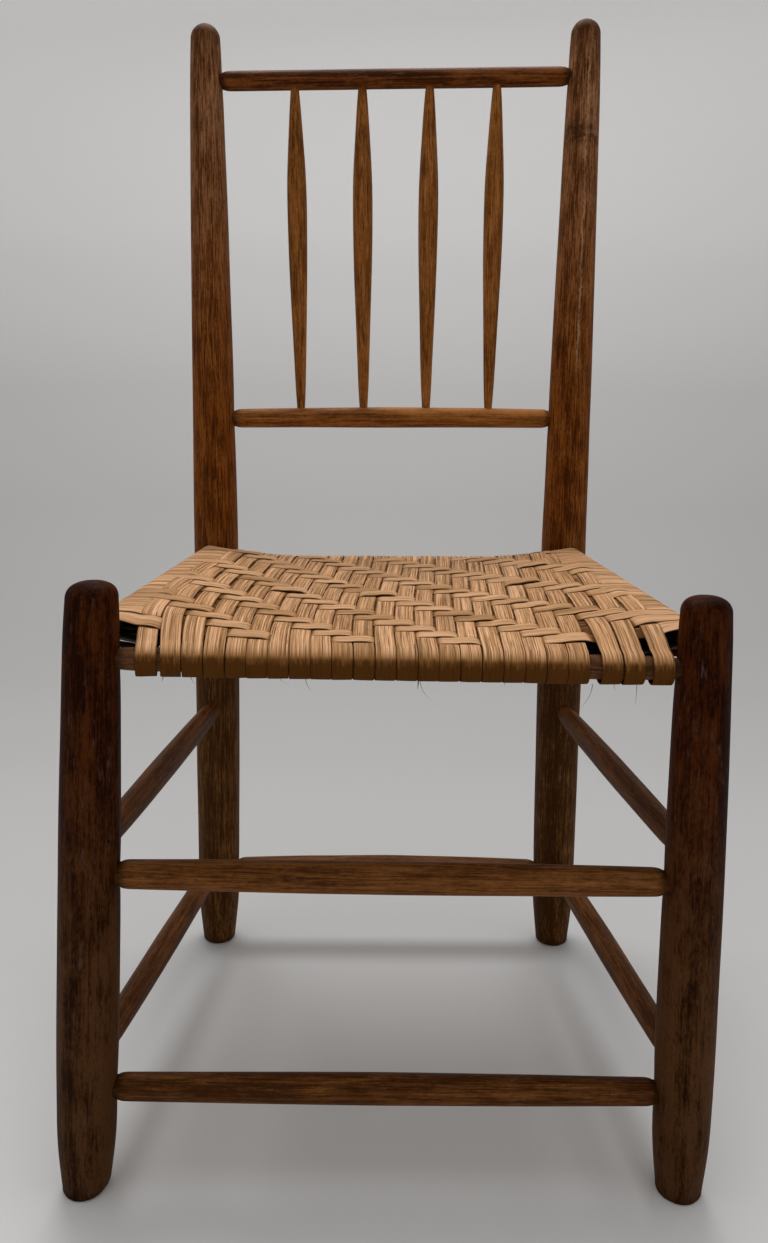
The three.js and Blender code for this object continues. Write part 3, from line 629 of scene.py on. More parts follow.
def hand_worked(angles, along, radii, seed, cut=FLAT_CUT, lump=LUMP):
    """Radii on a grid of places along a stick and angles round it."""
    dice = np.random.default_rng(seed)
    middles = np.sort(dice.uniform(0, 2 * np.pi, FLAT_COUNT))
    depths = dice.uniform(cut, 1.0, FLAT_COUNT)
    drift = FLAT_DRIFT * np.sin(along / DRIFT_LENGTH + dice.uniform(0, LAST_PHASE))
    total = np.exp(-EDGE_SHARPNESS * np.repeat(radii[:, None], len(angles), axis=1))
    for middle, depth in zip(middles, depths):
        facing = np.cos(angles[None, :] - middle - drift[:, None])
        flat = radii[:, None] * depth / np.maximum(facing, LEAST_FACING)
        flat = np.where(facing > LEAST_FACING, flat, FAR_OUT)
        total += np.exp(-EDGE_SHARPNESS * flat)
    radius = -np.log(total) / EDGE_SHARPNESS
    radius *= (radii / radius.mean(axis=1))[:, None]
    for _ in range(LUMP_WAVES):
        turns = dice.integers(0, TURN_KINDS)
        pace = dice.uniform(*LUMP_PACES)
        phase = dice.uniform(0, LAST_PHASE)
        wave = np.sin(turns * angles[None, :] + pace * along[:, None] + phase)
        radius += wave * lump / LUMP_WAVES * dice.uniform(*LUMP_SIZES)
    return radius


def angles_round(sides):
    return np.arange(sides) * 2 * np.pi / sides


def ring_points(middles, axis, radius, angles):
    """Points of rings that lie square to an axis, and their places in the rings."""
    first, second = {X: (Y, Z), Y: (Z, X), Z: (X, Y)}[axis]
    points = np.repeat(middles[:, None, :], len(angles), axis=1)
    flat = np.stack([radius * np.cos(angles), radius * np.sin(angles)], axis=-1)
    points[..., first] += flat[..., 0]
    points[..., second] += flat[..., 1]
    return points, flat


def ring_grain(flat, along):
    """Grain places of rings, from the places in each ring and along the stick."""
    along = np.broadcast_to(along[:, None, None], (*flat.shape[:2], 1))
    return np.concatenate([flat, along], axis=-1).reshape(-1, 3)


tried = hand_worked(angles_round(64), np.arange(0, 400, 4.0), np.full(100, 20.0), 1)
print("a radius of 20 mm, worked by hand:", round(tried.min(), 2), "to", round(tried.max(), 2))

# %% [markdown]
# A post ends in a dome on top. It is a quarter of an ellipse, a squarer one on the front
# posts, with a small flat left by the lathe. A subdivided cylinder would need its loops
# placed by eye, so the rings are worked out instead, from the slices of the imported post.

# %% Outline of a post
POST_STEP = 4.0
POST_START = 3.2
OUTLINE_SPREAD = 6
DOME_RINGS = 16
DOME_LAST_TURN = math.radians(88.5)
FOOT_RINGS = (0.0, 0.4, 1.0, 2.0)


def post_outline(stick, dome):
    """Heights with the smoothed middle and radius of a post up to its dome."""
    heights, middles, radii = stick.samples(POST_START, stick.high - dome)
    middles = smoothed(middles, OUTLINE_SPREAD)
    radii = smoothed(radii, OUTLINE_SPREAD)
    places = np.linspace(heights[0], heights[-1], round((heights[-1] - heights[0]) / POST_STEP))
    return places, points_at(places, heights, middles), np.interp(places, heights, radii)


def with_dome(stick, places, centre, radii, squareness):
    """Adds a dome whose outline is a quarter of a superellipse."""
    turns = np.linspace(0, DOME_LAST_TURN, DOME_RINGS)[1:]
    rise = (stick.high - places[-1]) * np.sin(turns) ** (2 / squareness)
    shrink = np.cos(turns) ** (2 / squareness)
    lean = (centre[-1] - centre[-4]) / (places[-1] - places[-4])
    places = np.concatenate([places, places[-1] + rise])
    centre = np.concatenate([centre, centre[-1] + rise[:, None] * lean])
    return places, centre, np.concatenate([radii, radii[-1] * shrink])


def with_foot(places, centre, radii):
    """Adds the lowest rings, down to the floor."""
    foot = np.array(FOOT_RINGS)
    lean = (centre[1] - centre[0]) / (places[1] - places[0])
    centre = np.concatenate([centre[0] + (foot - places[0])[:, None] * lean, centre])
    places = np.concatenate([foot, places])
    return places, centre, np.concatenate([np.full(len(foot), radii[0]), radii])


print("rings of a dome and a foot:", DOME_RINGS - 1, len(FOOT_RINGS))

# %% [markdown]
# The feet have been dragged over floors for years, so their lower edge is rounded, and on all
# but the front right post it is worn further on the side towards the middle of the chair. The
# same function gives a post its light and dark parts: a paler foot (`fade`), a darker part
# below the seat that is painted shade of the seat (`shaded`), painted light on the side
# towards the middle and painted shade on the far side, the other way round with a minus, in
# part also the post's own tone (`glow`), and a dirty top (`capped`). `stout` makes a post
# thicker than the imported one.

# %% Worn feet and turned posts
POST_SIDES = 64
FOOT_ROUND = 2.2
FOOT_DEPTH = 0.85
FULL_LUMP_RADIUS = 14
FADE_HEIGHT = 260
SHADED_HEIGHT = 430
SHADED_EASE = 60
GLOW_MIDDLE = 0.3
CAP_REACH = 45
FOOT_DIRT = 0.4
FOOT_DIRT_HEIGHT = 9
TO_RIGHT = 0.0
TO_LEFT = np.pi


def facing_share(angles, inner, power):
    """1 on the side of a stick that looks towards an angle, falling to 0 on its far side."""
    return ((1 + np.cos(angles - inner)) / 2) ** power


def foot_wear(places, angles, inner, worn):
    """How much the radius shrinks near the floor, more towards the worn inner side."""
    corner = FOOT_ROUND + (worn - FOOT_ROUND) * facing_share(angles, inner, 3)
    depth = np.clip(1 - places[:, None] / corner[None, :], 0, 1)
    return corner * (1 - np.sqrt(1 - depth ** 2)) * FOOT_DEPTH


def add_post(name, material, seed, dome, squareness, inner, worn, fade, shaded, glow,
             capped, stout=1.0):
    stick = Stick(name, Z)
    places, centre, radii = with_foot(*with_dome(stick, *post_outline(stick, dome), squareness))
    centre[:, Z] = places
    radii = radii * stout
    angles = angles_round(POST_SIDES)
    lump = LUMP * np.minimum(radii / FULL_LUMP_RADIUS, 1)[:, None]
    radius = hand_worked(angles, places, radii, seed, lump=lump)
    radius -= foot_wear(places, angles, inner, worn)
    points, flat = ring_points(centre, Z, radius, angles)
    low = np.clip(1 - places / FADE_HEIGHT, 0, 1)
    # Painted shade of the seat, darkening the post below it
    tint = fade * low - shaded * smooth_step((SHADED_HEIGHT - places) / SHADED_EASE)
    # Painted light on the side towards the middle and painted shade on the far side, reversed where
    # glow is below zero
    tint = tint[:, None] + glow * facing_share(angles, inner, 2) - glow * GLOW_MIDDLE
    near_top = smooth_step((places - (stick.high - CAP_REACH)) / CAP_REACH)
    soil = capped * near_top + FOOT_DIRT * np.clip(1 - places / FOOT_DIRT_HEIGHT, 0, 1)
    piece = make_piece(
        name + "_turned", points.reshape(-1, 3), tube_faces(len(places), POST_SIDES), material,
        ring_grain(flat, places), tint.reshape(-1), np.repeat(soil, POST_SIDES),
    )
    stand_for(name)


add_post("front_left_post", front_wood, 11, dome=13, squareness=2.6,
         inner=TO_RIGHT, worn=7, fade=0.25, shaded=0.0, glow=0.3, capped=0.1, stout=1.035)
add_post("front_right_post", front_wood, 12, dome=13, squareness=2.6,
         inner=TO_LEFT, worn=FOOT_ROUND, fade=0.45, shaded=0.0, glow=0.3, capped=0.1)
add_post("back_left_post", back_wood, 13, dome=15, squareness=2.0,
         inner=TO_RIGHT, worn=3, fade=0.05, shaded=0.28, glow=0.12, capped=0.45)
add_post("back_right_post", marked_wood, 14, dome=15, squareness=2.0,
         inner=TO_LEFT, worn=3, fade=0.05, shaded=0.38, glow=-0.06, capped=0.55)
print("posts:", pieces_called("_turned"))

# %% [markdown]
# A rung is thickest in the middle. At each end its shoulder is rounded off in a few
# millimetres, and the thinner tenon goes into the post, which leaves the dark crevice that
# shows round every joint. One function turns rungs, back sticks, spindles and rails. It can
# draw a stick a little stouter than the imported one, and paint a pale `ridge` along the right
# half of its upper edge on the two sticks of the back, partly wear from years of hands and
# partly a painted highlight.

# %% Turning a rung, stick, spindle or rail
RUNG_SIDES = 40
RUNG_STEP = 3.0
RUNG_CUT = 0.975
RUNG_LUMP = 0.18
SHOULDER_LENGTH = 7.0
SHOULDER_RINGS = np.array([0.06, 0.2, 0.4, 0.7])
SHORT_SHOULDER = 3
END_MARGIN = 5.0
SHORT_END_MARGIN = 1.5
NECK_SHARE = 0.8
SUNK = 5.0
CREVICE_REACH = 9.0
CREVICE_DARKENING = 0.75
RIDGE_ANGLE = math.radians(112)
RIDGE_NARROWNESS = 5
RIDGE_FROM = -30
RIDGE_EASE = 50
GRAIN_SHIFT = 37.0


def rung_outline(stick, neck, spread, shoulder, stout):
    """Places, middles, radii and distances from the nearer end of the body."""
    low, high = stick.body()
    margin = END_MARGIN if shoulder > SHORT_SHOULDER else SHORT_END_MARGIN
    inner, middles, radii = stick.samples(low + margin, high - margin)
    middles, radii = smoothed(middles, spread), smoothed(radii, spread)
    places = np.linspace(low - SUNK, high + SUNK, round((high - low + 2 * SUNK) / RUNG_STEP))
    ends = shoulder * SHOULDER_RINGS
    places = np.sort(np.concatenate([places, low + ends, high - ends]))
    centre = points_at(places, inner, middles)
    lean_low = (middles[1] - middles[0]) / (inner[1] - inner[0])
    lean_high = (middles[-1] - middles[-2]) / (inner[-1] - inner[-2])
    centre += np.minimum(places - inner[0], 0)[:, None] * lean_low
    centre += np.maximum(places - inner[-1], 0)[:, None] * lean_high
    centre[:, stick.axis] = places
    from_end = np.minimum(places - low, high - places)
    depth = np.clip(from_end / shoulder, 0, 1)
    radius = np.interp(places, inner, radii) * stout
    radius *= neck + (1 - neck) * np.sqrt(1 - (1 - depth) ** 2)
    return places, centre, radius, from_end


def add_rung(name, axis, material, seed, tint=0.0, neck=NECK_SHARE, spread=OUTLINE_SPREAD,
             cut=RUNG_CUT, shoulder=SHOULDER_LENGTH, sides=RUNG_SIDES, stout=1.0, ridge=0.0):
    stick = Stick(name, axis)
    places, centre, radius, from_end = rung_outline(stick, neck, spread, shoulder, stout)
    angles = angles_round(sides)
    grid = hand_worked(angles, places, radius, seed, cut, RUNG_LUMP)
    points, flat = ring_points(centre, axis, grid, angles)
    # The ridge is a pale line along the upper edge: partly wear, partly a painted highlight
    upper = np.clip(np.cos(angles - RIDGE_ANGLE), 0, 1) ** RIDGE_NARROWNESS
    ridge_wear_and_highlight = upper * smooth_step((places - RIDGE_FROM) / RIDGE_EASE)[:, None]
    # The body is painted darker towards each end, over the last few millimetres before the post
    crevice = np.clip(1 - from_end / CREVICE_REACH, 0, 1) ** 2
    piece = make_piece(
        name + "_turned", points.reshape(-1, 3), tube_faces(len(places), sides), material,
        ring_grain(flat, places + GRAIN_SHIFT * seed), (tint + ridge * ridge_wear_and_highlight).reshape(-1),
        np.repeat(CREVICE_DARKENING * crevice, sides),
    )
    stand_for(name)


# %% [markdown]
# Each stick gets a seed of its own, which sets its flats, lumps and the part of the grain that
# it shows, and a tint, because no two of them have aged alike. The spindles have next to no
# shoulder, and the front and back seat rails taper over a long one.

# %% All the sticks
add_rung("crest_rail", X, crest_wood, 21, -0.06, shoulder=9, stout=1.11, ridge=0.6)
add_rung("lower_back_rail", X, spindle_wood, 22, 0.02, stout=1.1, ridge=0.75)
add_rung("front_upper_stretcher", X, rung_wood, 23, 0.02)
add_rung("front_lower_stretcher", X, rung_wood, 24, -0.2)
add_rung("back_stretcher", X, rung_wood, 25, 0.0)
for number, side in enumerate(("left", "right")):
    add_rung(f"{side}_upper_stretcher", Y, rung_wood, 26 + number, -0.12)
    add_rung(f"{side}_lower_stretcher", Y, rung_wood, 28 + number, -0.1)
for number in range(1, 5):
    add_rung(f"spindle_{number}", Z, spindle_wood, 30 + number, 0.02 * (number - 2),
             neck=0.94, spread=9, cut=0.985, shoulder=1.2, sides=28)
for number, side in enumerate(("front", "back")):
    add_rung(f"{side}_seat_rail", X, rail_wood, 40 + number, neck=0.86, shoulder=30)
for number, side in enumerate(("left", "right")):
    add_rung(f"{side}_seat_rail", Y, rail_wood, 42 + number)

# %% [markdown]
# The seat is woven from strips of splint that were split from a log. Forty-four runs cross
# on its top: strips from front to back, called warps, and strips from side to side, called
# wefts. First the four rails that they are wound over, each taken from the frame as a
# straight line between two slices.

# %% Rails of the seat
RAIL_INSET = 20


class Rail:
    def __init__(self, name, axis):
        stick = Stick(name, axis)
        low, high = stick.body()
        self.low, self.high = low + RAIL_INSET, high - RAIL_INSET
        self.start = stick.slice(self.low)[0]
        self.end = stick.slice(self.high)[0]

    def at(self, place):
        """Points of the rail's axis at places along it."""
        share = (np.asarray(place, float) - self.low) / (self.high - self.low)
        return self.start + share[..., None] * (self.end - self.start)


front_rail = Rail("front_seat_rail", X)
back_rail = Rail("back_seat_rail", X)
left_rail = Rail("left_seat_rail", Y)
right_rail = Rail("right_seat_rail", Y)
FRONT = float(front_rail.at(0)[Y])
BACK = float(back_rail.at(0)[Y])
MIDDLE = (FRONT + BACK) / 2
ROLL_CUT = float(front_rail.at(0)[Z] + back_rail.at(0)[Z]) / 2
SIDE_CUT = float(left_rail.at(MIDDLE)[Z] + right_rail.at(MIDDLE)[Z]) / 2


def share_back(y):
    """0 on the front rail and 1 on the back rail."""
    return (y - FRONT) / (BACK - FRONT)


print("seat from front rail to back rail in mm:", round(BACK - FRONT, 1))

# %% [markdown]
# The places of the strips come from the frame as well. A plane through the rolls at the
# front and back rails cuts each length of splint in two turns. The outer edges of the cut,
# moved in by half a strip, are the centre lines of the two turns. A corner strip has one.

# %% Turns of a length of splint
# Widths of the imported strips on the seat, and of the wefts where they pass the side rails
CAD_STRIP = 13
CAD_EDGE_STRIP = 12.2
ROLL_DEPTH = 5
TURNS_APART = 2
TOP_CLEARANCE = 6.7


def nodes_called(start):
    return sorted(name for name in nodes if name.startswith(start))


def turns_of(name, axis, place, across, keep, width):
    """Centre lines of the turns of a length, where a plane cuts the part that is kept."""
    points = crossings(*edges_of(name), axis, place)
    places = points[keep(points)][:, across]
    lines = [places.min() + width / 2, places.max() - width / 2]
    return lines if lines[1] - lines[0] > TURNS_APART else [sum(lines) / 2]


def at_front(points):
    return points[:, Y] < FRONT - ROLL_DEPTH


def at_back(points):
    return points[:, Y] > BACK + ROLL_DEPTH


def at_left(points):
    return points[:, X] < left_rail.at(points[:, Y])[:, X] - ROLL_DEPTH


def at_right(points):
    return points[:, X] > right_rail.at(points[:, Y])[:, X] + ROLL_DEPTH


def on_top(points):
    share = share_back(points[:, Y])
    line = front_rail.at(0)[Z] * (1 - share) + back_rail.at(0)[Z] * share
    return points[:, Z] > line + TOP_CLEARANCE


front_turns = turns_of("warp_length_01", Z, ROLL_CUT, X, at_front, CAD_STRIP)
print("the first length turns over the front rail at x", [round(x, 1) for x in front_turns])

# %% [markdown]
# Seen from above, the strips don't run straight. All but those at the right bend to the left
# on their way back, more so the further left they lie, and most of all at the left edge. A
# strip that slants also has to turn sideways on each roll, half of the way before the roll's
# outermost place and half after, or it would show a kink there. So its slant is shared
# between the seat and the rolls.

# %% Bend and slant of the strips
ROLL_RADIUS = 11.3
ROLL_ARC = ROLL_RADIUS * math.pi / 2
BOW = 5.5
BOW_TO = 100
BOW_EASE = 130
LEFT_BOW = 5.6
LEFT_BOW_FROM = 110
LEFT_BOW_EASE = 36
# Makes the greatest value of share * (1 - share) ** 2 equal to 1
BOW_SHAPE = 6.75


def share_of(value, start, reach):
    """0 up to a start and 1 past its reach, for bends that set in over some strips."""
    return min(max((value - start) / reach, 0), 1)


def bow_of(front_x):
    """How far a strip bends to the left in the front half of the seat."""
    left_bow = LEFT_BOW * share_of(-front_x, LEFT_BOW_FROM, LEFT_BOW_EASE)
    return BOW * share_of(-front_x, -BOW_TO, BOW_EASE) + left_bow


def bow_turn(front_x):
    """Sideways slope that the bend has where it leaves the front roll."""
    return BOW_SHAPE * bow_of(front_x) / (BACK - FRONT)


def slope_between(front_x, back_x):
    """Sideways slant of a strip, which turns half of it over each roll."""
    turned = back_x - front_x + bow_turn(front_x) * ROLL_ARC / 2
    return turned / (BACK - FRONT + ROLL_ARC)


def lean_between(front_x, back_x):
    """Its slant where it leaves the front roll, with the bend."""
    return slope_between(front_x, back_x) - bow_turn(front_x)


def slanted(front_x, back_x, y):
    """Its x at a y between the rails, from its x at the foremost and hindmost places."""
    share = share_back(y)
    bow = bow_of(front_x) * BOW_SHAPE * share * (1 - share) ** 2
    start = front_x + lean_between(front_x, back_x) * ROLL_ARC / 2
    return start + slope_between(front_x, back_x) * (y - FRONT) - bow


print("bend to the left in mm at x -150, 0 and 150:", [round(bow_of(x), 1) for x in (-150, 0, 150)])

# %% [markdown]
# With these helpers the seat can be read off: where each strip crosses the front and the back
# rail, where a corner strip ends, and where the rows of wefts lie in the middle and on the
# two side rails.

# %% Strips and rows
TIP_REACH = 1
# The plane that cuts the wefts stands just beside the chair's middle, clear of mesh corners
MIDDLE_CUT = 0.3


class Strip:
    """A front-to-back strip: its node, its x on the two rails and the y where it ends."""

    def __init__(self, node, front, back, end=BACK, full=True):
        self.node, self.front, self.back, self.end, self.full = node, front, back, end, full
        self.slope = slope_between(front, back)
        self.lean = lean_between(front, back)

    def x(self, y):
        return slanted(self.front, self.back, y)


def find_strips():
    strips = []
    for node in nodes_called("warp_length_"):
        fronts = turns_of(node, Z, ROLL_CUT, X, at_front, CAD_STRIP)
        backs = turns_of(node, Z, ROLL_CUT, X, at_back, CAD_STRIP)
        strips += [Strip(node, front, back) for front, back in zip(fronts, backs)]
    for node in nodes_called("corner_strip_"):
        front = turns_of(node, Z, ROLL_CUT, X, at_front, CAD_STRIP)[0]
        points = np.concatenate(edges_of(node))
        end = points[:, Y].max()
        tip = points[points[:, Y] > end - TIP_REACH][:, X]
        back = front + ((tip.min() + tip.max()) / 2 - front) / share_back(end)
        strips.append(Strip(node, front, back, end, full=False))
    return sorted(strips, key=lambda strip: strip.front)


def find_rows(axis, place, keep, width):
    """Place along y of the first row, the step from row to row and the number of rows."""
    found = []
    for node in nodes_called("weft_length_"):
        found += turns_of(node, axis, place, Y, keep, width)
    return found[0], (found[-1] - found[0]) / (len(found) - 1), len(found)


strips = find_strips()
middle_first, middle_step, row_count = find_rows(X, MIDDLE_CUT, on_top, CAD_STRIP)
left_first, left_step, _ = find_rows(Z, SIDE_CUT, at_left, CAD_EDGE_STRIP)
right_first, right_step, _ = find_rows(Z, SIDE_CUT, at_right, CAD_EDGE_STRIP)
print("strips:", len(strips), "rows:", row_count)
print("row steps in mm:", [round(step, 2) for step in (middle_step, left_step, right_step)])

# %% [markdown]
# The seat isn't flat. The side rails sit higher than the front and back rails, so the weave
# sags between them like a shallow saddle, but it stays high for a little way inside each side
# rail. `side_pull` says how much a place belongs to the side rail: 1 on it and 0 from about a
# third of the seat's width away. It also draws the rows closer together at the sides, where
# the posts leave less room.

# %% Shape of the seat
QUARTER = math.pi / 2
SWING = 0.95
PULL_REACH = 150
RAIL_FLAT = 16
PULL_POWER = 1.6
END_FADE = 48
END_START = 8
CORNER_FADE = 16
CORNER_REACH = 32
SIDE_RADIUS = 10.3


def side_distance(x, y):
    """Distance inwards from the nearer side rail's axis."""
    left = x - left_rail.at(y)[..., X]
    right = right_rail.at(y)[..., X] - x
    return np.maximum(np.minimum(left, right), 0)


def side_pull(x, y):
    return np.clip(1 - side_distance(x, y) / PULL_REACH, 0, 1) ** PULL_POWER


def side_rise(x, y):
    """Share of the side rail's height; the weave stays high for a way inside the rail."""
    inside = np.maximum(side_distance(x, y) - RAIL_FLAT, 0)
    return np.clip(1 - inside / (PULL_REACH - RAIL_FLAT), 0, 1) ** PULL_POWER


def seat_height(x, y, face):
    """Height of the weave's middle, on the seat's top (face 1) or underside (face -1)."""
    share = share_back(y)
    line = front_rail.at(x)[..., Z] * (1 - share) + back_rail.at(x)[..., Z] * share
    base = line + face * (ROLL_RADIUS - SWING)
    side = np.where(x < 0, left_rail.at(y)[..., Z], right_rail.at(y)[..., Z])
    from_end = np.minimum(y - FRONT, BACK - y)
    far = np.sin(np.clip(from_end / END_FADE, 0, 1) * QUARTER) * smooth_step(from_end / END_START)
    near = smooth_step(from_end / CORNER_FADE)
    close = np.clip(1 - side_distance(x, y) / CORNER_REACH, 0, 1) ** 2
    pull = side_rise(x, y) * (far + (1 - far) * near * close)
    return base + pull * (side + face * SIDE_RADIUS - base)


def row_number(x, y):
    """Number of the row at a place on top, from 0, with fractions between the rows."""
    pull = side_pull(x, y)
    first = np.where(x < 0, left_first, right_first)
    step = np.where(x < 0, left_step, right_step)
    first = middle_first + pull * (first - middle_first)
    step = middle_step + pull * (step - middle_step)
    return (y - first) / step


def lower_row_number(x, y):
    """The same below, where each row slants to the next one's place on the left."""
    share = (right_rail.at(y)[..., X] - x) / (right_rail.at(y)[..., X] - left_rail.at(y)[..., X])
    first = right_first + share * (left_first + left_step - right_first)
    step = right_step + share * (left_step - right_step)
    return (y - first) / step


left_edge = float(left_rail.at(MIDDLE)[X])
heights = [round(float(seat_height(x, MIDDLE, 1)), 1) for x in (left_edge, 0.0)]
print("height of the weave at its left edge and in the middle in mm:", heights)

# %% [markdown]
# The weave is a twill: each weft passes over two warps and under three, one step further
# left in each row. A strip's level is 1 over and -1 under, and it eases from one to the
# other between two crossings. Where a strip floats over several others it bulges a little,
# and each float of a weft climbs towards its right end. In a few places an old float has come
# loose and stands up from the seat.

# %% The twill
TWILL = 5
OVER = 2
EASE = 0.4
BULGE = 0.32
UNEVEN = 0.1
SINK_SHARE = 0.6
JUST_SHORT = 0.001


def weft_over(column, row):
    return (column + row) % TWILL < OVER


def levels_of(overs, seed, loose=(), climb=0.0):
    """Levels at the crossings, with one more at each end, from a list of over or under."""
    dice = np.random.default_rng(seed)
    levels = np.where(overs, 1.0, -1.0)
    inside = np.concatenate([[False], overs, [False]])
    floating = inside[:-2] & inside[1:-1] & inside[2:]
    first, last = inside[1:-1] & ~inside[:-2], inside[1:-1] & ~inside[2:]
    levels = levels + BULGE * floating + climb * (last - SINK_SHARE * first)
    levels = levels + dice.normal(0, UNEVEN, len(levels))
    for place, lift in loose:
        levels[place] += lift
    return np.concatenate([[1.0], levels, [1.0]])


def eased(levels, place):
    """Level at fractional crossing numbers, counted from 0 for the first crossing."""
    place = np.clip(place + 1, 0, len(levels) - 1 - JUST_SHORT)
    low = place.astype(int)
    turn = smooth_step((place - low - 0.5) / EASE + 0.5)
    return levels[low] * (1 - turn) + levels[low + 1] * turn


print("the twill, seen from above, with - for a weft on top:")
for row in reversed(range(TWILL)):
    print("   ", "".join("-" if weft_over(column, row) else "|" for column in range(3 * TWILL)))

# %% [markdown]
# A strip is drawn as a path of points with the direction of its width at each. The path is
# made of legs: half circles round the rails, and runs over and under the seat. Worked-out
# legs were chosen over a simulation, because tight splint has only one way to lie.

# %% Legs of a strip
STRIP_STEP = 2.2
LOWER_STEP = 4.5
ROLL_STEPS = 14
TO_FRONT = np.array((0.0, -1.0, 0.0))
SIDEWAYS = np.array((1.0, 0.0, 0.0))


def steps_between(start, end, step):
    return np.linspace(start, end, max(2, round(abs(end - start) / step)))


def repeated(direction, count):
    """The same direction at each point of a leg."""
    return np.repeat(direction[None, :], count, axis=0)


def half_circle(centre, across, outward, from_turn, to_turn, radius=ROLL_RADIUS):
    """A leg round a rail, between two angles in the plane of outward and up."""
    turns = np.linspace(from_turn, to_turn, ROLL_STEPS)[1:-1]
    out = np.cos(turns)[:, None] * np.array(outward) + np.sin(turns)[:, None] * np.array((0, 0, 1))
    return centre + radius * out, repeated(across, len(turns))


print("points of a half circle:", ROLL_STEPS - 2)

# %% [markdown]
# The path is then smoothed a little and gets a section: slightly crowned, with soft edges.
# Split wood is never even, so slow waves make each strip wander, turn, change its width and
# change its crown by tenths of a millimetre.

# %% Skin of a strip
STRIP_THICKNESS = 0.85
PATH_SPREAD = 0.9
CROWN = 0.12
CROWN_SHARE = 0.7
WAVE_COUNT = 4
WAVE_PACES = (0.3, 1.7)
WAVE_PHASE = 6.3
WAVE_HEIGHT = 2.4
# Size and pace of the waves in the width, the place, the turn and the crown of a strip
WIDTH_WAVE = (0.02, 0.05)
SHIFT_WAVE = (0.25, 0.02)
TURN_WAVE = (0.02, 0.04)
CROWN_WAVE = (0.5, 0.03)
# Half of a strip's width in its texture, however wide the strip is drawn
TEXTURE_HALF = 7.5
# Every seed moves the texture on, so that no two strips show the same stretch of wood
TEXTURE_SHIFT = 391.0
TEXTURE_DEPTH_SHIFT = 17.0
SECTION_ACROSS = np.array([-0.93, -0.5, 0, 0.5, 0.93, 1, 0.93, 0.5, 0, -0.5, -0.93, -1])
SECTION_OUT = np.array([1, 1, 1, 1, 1, 0, -1, -1, -1, -1, -1, 0])


def slow_waves(length, dice, size, pace):
    """A slow random wave along a strip, seldom taller than its size."""
    waves = [
        np.sin(length * dice.uniform(*WAVE_PACES) * pace + dice.uniform(0, WAVE_PHASE))
        for _ in range(WAVE_COUNT)
    ]
    return size * (sum(waves) / WAVE_HEIGHT)


def strip_skin(legs, width_at, seed, tilt):
    """Skin points and grain places of a strip along its legs."""
    points = smoothed(np.concatenate([leg[0] for leg in legs]), PATH_SPREAD)
    across = smoothed(np.concatenate([leg[1] for leg in legs]), PATH_SPREAD)
    along = np.gradient(points, axis=0)
    along /= np.linalg.norm(along, axis=1)[:, None]
    across -= (across * along).sum(1)[:, None] * along
    across /= np.linalg.norm(across, axis=1)[:, None]
    normal = np.cross(across, along)
    steps = np.linalg.norm(np.diff(points, axis=0), axis=1)
    length = np.concatenate([[0], np.cumsum(steps)])
    dice = np.random.default_rng(seed)
    half = width_at(points) / 2 * (1 + slow_waves(length, dice, *WIDTH_WAVE))
    shift = slow_waves(length, dice, *SHIFT_WAVE)
    turn = tilt + slow_waves(length, dice, *TURN_WAVE)
    leaning = np.cos(turn)[:, None] * across + np.sin(turn)[:, None] * normal
    facing = np.cos(turn)[:, None] * normal - np.sin(turn)[:, None] * across
    edge = half[:, None] * SECTION_ACROSS + shift[:, None]
    crowned = (CROWN_SHARE + slow_waves(length, dice, *CROWN_WAVE))[:, None]
    out = SECTION_OUT * STRIP_THICKNESS / 2 + CROWN * (1 - SECTION_ACROSS ** 2) * crowned
    skin = points[:, None] + edge[..., None] * leaning[:, None] + out[..., None] * facing[:, None]
    local = np.broadcast_to((TEXTURE_HALF * SECTION_ACROSS)[:, None], (*out.shape, 1))
    depth = out[..., None] + TEXTURE_DEPTH_SHIFT * seed
    along_places = np.repeat((length + TEXTURE_SHIFT * seed)[:, None], len(SECTION_ACROSS), axis=1)
    return skin, np.concatenate([local, depth, along_places[..., None]], axis=-1)


def splint_piece(name, legs, width_at, material, seed, tint, soil, tilt=0.0):
    skin, grain = strip_skin(legs, width_at, seed, tilt)
    piece = make_piece(
        name, skin.reshape(-1, 3), tube_faces(len(skin), len(SECTION_ACROSS)), material,
        grain.reshape(-1, 3), tint, soil(skin.reshape(-1, 3)),
    )
    return piece


def add_strip(node, legs, width_at, material, seed, tint, soil, tilt=0.0):
    piece = splint_piece(node + "_splint", legs, width_at, material, seed, tint, soil, tilt)
    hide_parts(node)


print("points in the section of a strip:", len(SECTION_ACROSS))

# %% [markdown]
# Splint is pale wood with the lines of its year rings running along it. Age has made it tan,
# with thin dark cracks between the fibres. Its edges are painted darker, as painted shade in
# the seams between strips. Where a strip is marked darker it turns first olive, then dark
# brown where there is more: painted shade between the crossings, and dirt with painted shade
# down the front roll and below. The tint attribute makes a strip a little lighter or darker.

# %% Splint material
SPLINT_DARK = (0.125, 0.043, 0.009)
SPLINT_DARKEST = (0.078, 0.0255, 0.0026)
SPLINT_OLIVE = (0.25, 0.108, 0.026)
SPLINT_RELIEF = 0.4
SPLINT_GLOSS = 0.07
WARM_EDGES = (0.5, 0.75)
WARM_COVER = 0.5
CRACK_EDGES = (0.33, 0.37)
RIM_EDGES = (6.7, 7.4)
RIM_COVER = 0.62
BLOTCH_EDGES = (0.3, 0.7)
OLIVE_GAIN = 1.5
OLIVE_COVER = 0.9
DARKEST_EDGES = (0.35, 0.95)


